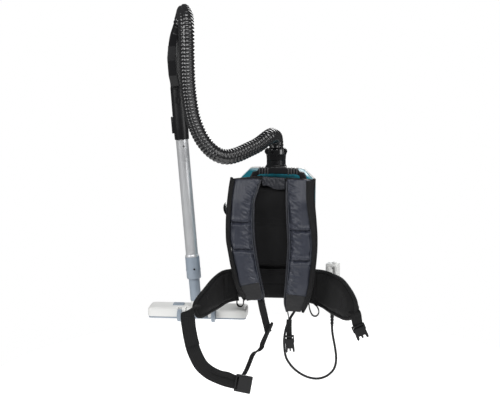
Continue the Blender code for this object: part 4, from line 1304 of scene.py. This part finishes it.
@dataclass
class Wing:
    """One padded belt wing with bound edges and a strap slot. Rows are (upper edge, lower edge) from the root out."""

    name: str
    node: str
    rows: Sequence[tuple[Point, Point]]
    fold: float
    slot_at: float
    thick: float = 14.0 * MM
    bound: float = 5.2 * MM
    slot_proud: float = 2.8 * MM

    def build(self) -> None:
        """Makes the wing, its binding and its slot."""
        mesh = Stuffing(cap=3.5 * MM, shrink=-0.8 * MM).fill(self.node)
        sculpt(mesh, self.lift)
        wing = dress(to_object(self.name, mesh, CUSHION_EDGE), WING_CLOTH, instead_of=[self.node])
        rim = [upper for upper, _ in self.rows] + [lower for _, lower in reversed(self.rows)]
        swept(self.name + "_binding", Path(rim, DEEP, count=240), round_section(self.bound), 240, 16, BINDING)
        self.slot()

    def lift(self, spot: Vector, normal: Vector) -> float:
        """The fold by the root and soft unevenness.

        Args:
            spot: a place on the skin.
            normal: the skin's normal there.

        Returns:
            The distance to move it.
        """
        front = max(0.0, -normal.y)
        rise = 0.8 * MM * noise.noise(Vector((spot.x * 28, spot.y * 28, spot.z * 28)))
        rise -= front * 3.2 * MM * bump_at(spot.x, self.fold, 2.6 * MM)
        rise += front * 1.3 * MM * bump_at(abs(spot.x), abs(self.fold) - 9 * MM, 5 * MM)
        return rise

    def frame_at(self, share: float) -> tuple[Vector, Vector, Vector, Vector]:
        """The middle of the wing at a share of its length, with its along, up and outward directions.

        Args:
            share: how far from the wing's root, from 0 to 1.

        Returns:
            The middle and the three directions.
        """
        spot = share * (len(self.rows) - 1)
        low = min(int(spot), len(self.rows) - 2)
        part = spot - low
        pairs = [(Vector(a), Vector(b)) for a, b in self.rows[low:low + 2]]
        mids = [(a + b) / 2 for a, b in pairs]
        ups = [(a - b).normalized() for a, b in pairs]
        along = (mids[1] - mids[0]).normalized()
        rising = ups[0].lerp(ups[1], part).normalized()
        out = along.cross(rising).normalized()
        return mids[0].lerp(mids[1], part), along, rising, out if out.y < 0 else -out

    def slot(self) -> None:
        """A raised rim round the slot that the belt's strap passes through."""
        centre, along, rising, out = self.frame_at(self.slot_at)
        centre = centre + out * (self.thick / 2 + self.slot_proud)
        loop = []
        for n in range(16):
            angle = 2 * pi * n / 16
            a = squared(cos(angle), 0.6) * 4.5 * MM
            b = squared(sin(angle), 0.5) * 17.0 * MM
            loop.append(tuple(centre + along * a + rising * b))
        mesh = sweep(Path(loop, tuple(out), True, 120, True), round_section(2.0 * MM, 2.3 * MM), 120, 12)
        bmesh.ops.remove_doubles(mesh, verts=mesh.verts, dist=0.2 * MM)
        dress(to_object(self.name + "_slot_rim", mesh, SOFT_EDGE), BINDING)


WING_CLOTH = Spacer("wing_cloth", (0.0060, 0.0060, 0.0062), 900.0, 0.12, 0.05)
RIGHT_WING = Wing("right_belt_wing", "belt_wing_right", (
    ((-0.1000, 0.008, -0.105), (-0.1000, 0.008, -0.188)), ((-0.1240, 0.006, -0.106), (-0.1160, 0.006, -0.190)),
    ((-0.1475, -0.001, -0.111), (-0.1350, 0.000, -0.195)), ((-0.1710, -0.018, -0.128), (-0.1560, -0.018, -0.206)),
    ((-0.1905, -0.045, -0.150), (-0.1740, -0.045, -0.212)), ((-0.2060, -0.072, -0.168), (-0.1880, -0.072, -0.216)),
    ((-0.2130, -0.090, -0.180), (-0.1980, -0.090, -0.216)), ((-0.2130, -0.097, -0.190), (-0.2060, -0.097, -0.210)),
), -0.140, 0.60)
LEFT_WING = Wing("left_belt_wing", "belt_wing_left", (
    ((0.1000, 0.008, -0.102), (0.1000, 0.008, -0.190)), ((0.1240, 0.006, -0.1025), (0.1160, 0.006, -0.194)),
    ((0.1420, 0.002, -0.104), (0.1400, 0.000, -0.203)), ((0.1640, -0.010, -0.109), (0.1600, -0.018, -0.212)),
    ((0.1910, -0.040, -0.116), (0.1800, -0.045, -0.2155)), ((0.2125, -0.080, -0.134), (0.2000, -0.080, -0.215)),
    ((0.2250, -0.108, -0.152), (0.2180, -0.105, -0.206)), ((0.2290, -0.121, -0.166), (0.2270, -0.119, -0.194)),
), 0.118, 0.68)


@dataclass
class BackPads:
    """The mesh-covered back and lumbar pads, and the yoke that joins the shoulder pads."""

    seam: float = 1.8 * MM
    seam_depth: float = 1.6 * MM

    def build(self) -> None:
        """Makes the three pieces."""
        for name, node, channel in (("back_cushion", "back_pad", 0.036), ("lumbar_cushion", "lumbar_pad", -0.140)):
            mesh = Stuffing(cap=3.0 * MM, shrink=0.8 * MM).fill(node)
            sculpt(mesh, self.lifter(channel))
            cushion = dress(to_object(name, mesh, CUSHION_EDGE), Slot.MESH, instead_of=[node])
        mesh = Stuffing(voxel=2.5 * MM, cap=1.5 * MM, shrink=0.3 * MM, refine=1).fill("harness_yoke")
        sculpt(mesh, self.gather)
        yoke = dress(to_object("gathered_yoke", mesh, CUSHION_EDGE), YOKE, instead_of=["harness_yoke"])

    def lifter(self, channel: float) -> Callable[[Vector, Vector], float]:
        """The sewn channel of a pad, at a height.

        Args:
            channel: the channel's height.

        Returns:
            What sculpt needs.
        """

        def lift(spot: Vector, normal: Vector) -> float:
            """How far the face stands out or in."""
            front = max(0.0, -normal.y)
            return 0.7 * MM * noise.noise(spot * 25) - front * self.seam_depth * bump_at(spot.z, channel, self.seam)

        return lift

    @staticmethod
    def gather(spot: Vector, normal: Vector) -> float:
        """Wrinkles that fan out across the yoke.

        Args:
            spot: a place on the skin.
            normal: the skin's normal there.

        Returns:
            The distance to move it.
        """
        front = abs(normal.y)
        fan = noise.noise(Vector((spot.x * 140 + spot.z * 60, 2.0, spot.z * 70 - spot.x * 40)))
        return front * 3.2 * MM * fan


@dataclass
class Straps:
    """Webbing, loops, buckles and slider that hang from the belt and the shoulder pads."""

    wide: float = 38.0 * MM
    narrow: float = 20.0 * MM
    loop: float = 12 * MM
    thin_cord: float = 1.6 * MM

    def build(self) -> None:
        """Makes every strap and its hardware."""
        belt: Point = (0.85, 0.15, 0.50)
        strap("belt_webbing", ((-0.2085, -0.0930, -0.196), (-0.2160, -0.1030, -0.191), (-0.2230, -0.1150, -0.188),
                               (-0.2265, -0.1285, -0.193), (-0.2260, -0.137, -0.208),
                               (-0.2230, -0.140, -0.229), (-0.2175, -0.142, -0.262), (-0.2090, -0.144, -0.295),
                               (-0.1940, -0.145, -0.328), (-0.1800, -0.146, -0.345), (-0.1585, -0.147, -0.360),
                               (-0.1257, -0.148, -0.373), (-0.1040, -0.148, -0.3785), (-0.0830, -0.148, -0.3825)),
              self.wide, belt, bow=-1.5 * MM, steps=150, instead_of=["waist_strap"])
        strap("belt_fold", ((-0.2235, -0.1380, -0.206), (-0.2210, -0.1430, -0.232), (-0.2155, -0.1450, -0.262),
                            (-0.2100, -0.1465, -0.282)), self.wide * 0.98, belt, steps=60)
        strap("belt_tail", ((-0.0930, -0.1480, -0.3700), (-0.1040, -0.1505, -0.3640), (-0.1160, -0.1510, -0.3590),
                            (-0.1300, -0.1505, -0.3570), (-0.1440, -0.1500, -0.3530), (-0.1560, -0.1485, -0.3470)),
              self.wide * 0.40, (0.3, 0.15, 0.95), steps=60)
        strap("plug_strap", ((0.2180, -0.1080, -0.182), (0.2262, -0.1225, -0.186), (0.2290, -0.1300, -0.192),
                             (0.2305, -0.1320, -0.202), (0.2325, -0.1315, -0.212), (0.2383, -0.1300, -0.2295)),
              self.wide * 0.75, (1.0, 0.0, 0.35), bow=-1 * MM, instead_of=["plug_webbing"])
        strap("right_pad_webbing", ((-0.0370, -0.027, -0.1680), (-0.0340, -0.031, -0.1800), (-0.0315, -0.037, -0.191),
                                    (-0.0262, -0.044, -0.211), (-0.0205, -0.049, -0.232), (-0.0150, -0.052, -0.2520),
                                    (-0.0118, -0.053, -0.2660)), self.narrow, (1.0, 0.2, 0.1),
              instead_of=["pad_strap_right"])
        strap("slider_tail", ((-0.0135, -0.054, -0.2660), (-0.0170, -0.058, -0.2730), (-0.0230, -0.061, -0.2860),
                              (-0.0275, -0.062, -0.2980), (-0.0300, -0.064, -0.3080), (-0.0380, -0.070, -0.3150),
                              (-0.0470, -0.079, -0.3170), (-0.0530, -0.088, -0.3230), (-0.0590, -0.100, -0.3370),
                              (-0.0660, -0.118, -0.3530), (-0.0730, -0.136, -0.3640)), self.narrow * 0.85,
              (0.7, -0.5, 0.2), steps=140, instead_of=["pad_strap_tail"])
        strap("left_pad_webbing", ((0.0458, -0.035, -0.2330), (0.0452, -0.036, -0.246), (0.0455, -0.036, -0.2650),
                                   (0.0466, -0.036, -0.2935)), self.narrow * 0.78, ACROSS,
              instead_of=["pad_strap_left"])
        foot = (0.0460, -0.036, -0.2400)
        for tag, x in (("outer", 0.0640), ("inner", 0.0400)):
            top = (x, -0.029, -0.2060)
            middle = tuple((a + b) / 2 for a, b in zip(top, foot))
            swept(f"left_pad_cord_{tag}", Path((top, middle, foot), DEEP, True), round_section(self.thin_cord), 24, 12,
                  BINDING)
        strap("right_loop", ((-0.1040, -0.0005, -0.1860), (-0.1045, -0.002, -0.199), (-0.0990, -0.0045, -0.2060),
                             (-0.0910, -0.0045, -0.2060), (-0.0862, -0.003, -0.1990), (-0.0860, -0.0025, -0.1860)),
              self.loop, DEEP, thick=3.0 * MM, ruck=0.2 * MM, instead_of=["strap_loop_right"])
        strap("left_loop", ((0.0990, -0.003, -0.1890), (0.1025, -0.004, -0.212), (0.1105, -0.006, -0.2275),
                            (0.1215, -0.006, -0.2290), (0.1280, -0.0045, -0.2180), (0.1235, -0.003, -0.2040),
                            (0.1140, -0.002, -0.1945)),
              self.loop, DEEP, thick=3.0 * MM, ruck=0.2 * MM, instead_of=["strap_loop_left"])
        for name, node in (("belt_buckle_socket", "waist_buckle_socket"), ("belt_buckle_plug", "waist_buckle_plug"),
                           ("pad_buckle_plug", "pad_buckle"), ("strap_slider", "pad_slider")):
            softened(name, node, Slot.BLACK, 0.55 * MM, 2)


# ---------------------------------------------------------------- pack


@dataclass
class Pack:
    """The housing, its lid and base, the carry handle and the other hard pieces on the pack."""

    clip_taller: float = 1.5
    clip_deeper: float = 1.12
    clip_swell: float = 1.6 * MM
    ribs: int = 4
    first_rib: float = 29.0
    rib_pitch: float = 7.8

    def build(self) -> None:
        """Dresses the pack."""
        softened("arched_handle", "carry_handle", Slot.BLACK, 0.9 * MM, 3)
        self.handle_ribs()
        softened("spring_clip", "accessory_clip", Slot.BLACK, 0.7 * MM, 2, before=self.open_up)
        softened("ring_with_ears", "hose_lock_ring", Slot.GLOSS, 0.7 * MM, 3, "lock_ring")
        for name, node, finish, width, body in (
            ("teal_housing", "main_housing", Slot.TEAL, 1.2 * MM, "root"),
            ("white_lid", "dust_lid", Slot.WHITE, 1.0 * MM, "lid"),
            ("rear_panel", "motor_cover", Slot.BLACK, 0.9 * MM, "root"),
            ("black_base", "base_housing", Slot.BLACK, 1.0 * MM, "root"),
            ("latch_hook", "lid_latch", Slot.BLACK, 0.8 * MM, "latch"),
            ("remote_front", "control_front", Slot.WHITE, 0.5 * MM, "root"),
            ("remote_back", "control_back", Slot.WHITE, 0.5 * MM, "root"),
        ):
            edged(name, node, finish, width, body)

    def open_up(self, mesh: bmesh.types.BMesh) -> None:
        """Makes the clip taller and deeper, from the side that meets the housing.

        Args:
            mesh: the clip's shape.
        """
        low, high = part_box("accessory_clip")
        middle = (low.z + high.z) / 2
        for vert in mesh.verts:
            vert.co.z = middle + (vert.co.z - middle) * self.clip_taller
            vert.co.x = high.x + (vert.co.x - high.x) * self.clip_deeper
        mesh.normal_update()
        for vert in mesh.verts:
            vert.co += vert.normal * self.clip_swell

    def handle_ribs(self) -> None:
        """Two groups of ribs round the carry handle's grip."""
        low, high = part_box("carry_handle")
        middle = (low.x + high.x) / 2
        size = (3.6 * MM, high.y - low.y + 5.0 * MM, 19.5 * MM)
        parts = []
        for side in (-1, 1):
            for n in range(self.ribs):
                x = middle + side * (self.first_rib + self.rib_pitch * n) * MM
                parts.append(block(size, (x, (low.y + high.y) / 2, high.z - 12.0 * MM), 1.6 * MM))
        # The ribs wear the lighter black, which paints their highlight.
        dress(to_object("handle_ribs", joined(parts)), RIB_PAINTED_HIGHLIGHT)


# ---------------------------------------------------------------- wand


@dataclass
class Wand:
    """The handle, pipes and floor nozzle."""

    top: Point = (-0.268, 0.060, 0.2622)
    lean: Quaternion = field(default_factory=lambda: Quaternion((0.0, 1.0, 0.0), radians(-4.46)))
    cheek: Point = (-0.2906, 0.0528, 0.3030)
    collar_radius: float = 20.2 * MM
    collar_high: float = -337.5 * MM
    collar_low: float = -404.5 * MM
    pin_hole: float = -375.5 * MM

    def build(self) -> None:
        """Dresses the wand."""
        softened("moulded_handle", "handle_shell", Slot.BLACK, 1.1 * MM, 4)
        softened("moulded_nozzle", "nozzle_shell", Slot.WHITE, 1.0 * MM, 3, "nozzle")
        softened("moulded_neck", "nozzle_neck", Slot.WHITE, 0.7 * MM, 3, "neck")
        softened("lock_lever", "pipe_lock_button", Slot.BLACK, 0.5 * MM, 2, "pipe_lock")
        self.lever_cheek()
        self.collar()

    def lever_cheek(self) -> None:
        """A thin wall on the handle beside the lever, which hides the gap the lever is pressed into."""
        wall = block((7.0 * MM, 1.2 * MM, 46.0 * MM), (0.0, 0.0, 0.0), 0.5 * MM)
        dress(to_object("lever_cheek", moved(wall, self.cheek, self.lean)), Slot.BLACK)

    def collar(self) -> None:
        """The grey sleeve on the upper pipe's lower end, with a raised ring, and a black disc of painted shade where
        the pin hole is.
        """
        rim = self.collar_radius
        lower = ((-2.2, -0.6), (-0.6, -0.6), (0.5, 2.0), (0.5, 22.0), (1.1, 24.0), (1.1, 27.0), (0.5, 29.0))
        upper = ((0.4, -5.0), (-1.0, 0.6), (-2.9, 1.2), (-2.9, -0.5))
        profile = [(rim + out * MM, self.collar_low + rise * MM) for out, rise in lower]
        profile += [(rim + out * MM, self.collar_high + rise * MM) for out, rise in upper]
        profile.append((rim - 2.2 * MM, self.collar_low + 1.0 * MM))
        mesh = moved(turned(profile, 48), self.top, self.lean)
        dress(to_object("collar_sleeve", mesh, TURNED_EDGE), Slot.GREY)
        # A black disc on the sleeve stands for the pin hole: painted shade of its dark inside.
        hole = turned([(0.0, 0.0), (2.9 * MM, 0.0), (2.9 * MM, 0.8 * MM), (2.2 * MM, 1.0 * MM), (0.0, 0.6 * MM)], 24)
        bmesh.ops.transform(hole, matrix=Matrix.Rotation(pi / 2, 4, "X"), verts=hole.verts)
        spot = Vector(self.top) + self.lean @ Vector((6.0 * MM, 0.5 * MM - rim, self.pin_hole))
        dress(to_object("collar_hole_painted_shade", moved(hole, spot, self.lean), TURNED_EDGE), Slot.BLACK)


# ---------------------------------------------------------------- scene


@dataclass
class Studio:
    """Floor, soft lights and the camera."""

    target: Point = (-0.06765, 0.0, 0.09843)
    azimuth: float = 5.0
    elevation: float = 8.0
    distance: float = 2.6
    lens: float = 66.86
    sensor: float = 36.0
    room: float = 0.12
    floor: float = 0.9
    floor_height: float = -0.475
    lamps: Sequence[tuple[str, Point, float, float]] = (
        ("left_box", (-2.1, -1.7, 1.2), 1.4, 48.0),
        ("top_box", (0.5, -1.9, 2.0), 1.3, 42.0),
        ("right_box", (2.2, -1.3, 0.6), 1.3, 28.0),
        ("back_box", (0.5, 2.3, 1.5), 1.4, 46.0),
    )

    def camera(self) -> None:
        """Makes the camera."""
        turn, rise = radians(self.azimuth), radians(self.elevation)
        back = Vector((sin(turn) * cos(rise), -cos(turn) * cos(rise), sin(rise)))
        data = bpy.data.cameras.new("camera")
        data.lens = self.lens
        data.sensor_width = self.sensor
        camera = bare(bpy.data.objects.new("camera", data))
        camera.location = Vector(self.target) + back * self.distance
        camera.rotation_euler = (-back).to_track_quat("-Z", "Y").to_euler()
        bpy.context.scene.camera = camera

    def light(self, name: str, place: Point, size: float, watts: float, aim: Point = (-0.05, 0.0, 0.05)) -> None:
        """One square soft light, aimed at the object.

        Args:
            name: the light's name.
            place: its middle.
            size: its width.
            watts: its power.
            aim: the point that it faces.
        """
        data = bpy.data.lights.new(name, "AREA")
        data.size = size
        data.energy = watts
        lamp = bare(bpy.data.objects.new(name, data))
        lamp.location = place
        lamp.rotation_euler = (Vector(aim) - Vector(place)).to_track_quat("-Z", "Y").to_euler()

    def build(self) -> None:
        """Makes the floor, the lights and the pale surroundings."""
        mesh = bmesh.new()
        bmesh.ops.create_circle(mesh, cap_ends=True, segments=96, radius=self.floor)
        floor = to_object("floor", moved(mesh, (0.0, 0.0, self.floor_height)))
        graph = Graph("floor")
        graph.fix(Base_Color=(0.50, 0.50, 0.50, 1.0), Roughness=1.0, Specular_IOR_Level=0.0,
                  Emission_Color=(1.0, 1.0, 1.0, 1.0), Emission_Strength=0.93)
        floor.data.materials.append(graph.material)
        world = bpy.data.worlds.new("studio")
        world.use_nodes = True
        tree = world.node_tree
        backdrop = tree.nodes["Background"]
        backdrop.inputs["Color"].default_value = (1.0, 1.0, 1.0, 1.0)
        seen = tree.nodes.new("ShaderNodeLightPath")
        glow = tree.nodes.new("ShaderNodeMapRange")
        glow.inputs["To Min"].default_value = self.room
        glow.inputs["To Max"].default_value = 1.0
        tree.links.new(seen.outputs["Is Camera Ray"], glow.inputs["Value"])
        tree.links.new(glow.outputs["Result"], backdrop.inputs["Strength"])
        bpy.context.scene.world = world
        for lamp in self.lamps:
            self.light(*lamp)
        bpy.context.scene.view_settings.view_transform = "Standard"


def carried_over() -> None:
    """Gives every CAD node the finish of its own slot."""
    for node, obj in frame["nodes"].items():
        obj.data.materials.clear()
        obj.data.materials.append(Paints.of(Slot(SUBPARTS[node])))


def main() -> None:
    """Builds the object, one sub-assembly at a time."""
    studio = Studio()
    studio.camera()
    Hose().build()
    Cord().build()
    carried_over()
    for part in (RIGHT_PAD, LEFT_PAD, BackPads(), RIGHT_WING, LEFT_WING, Straps(), Pack(), Wand()):
        part.build()
        LOG.info("%s done", type(part).__name__)
    studio.build()


if __name__ == "__main__":
    main()
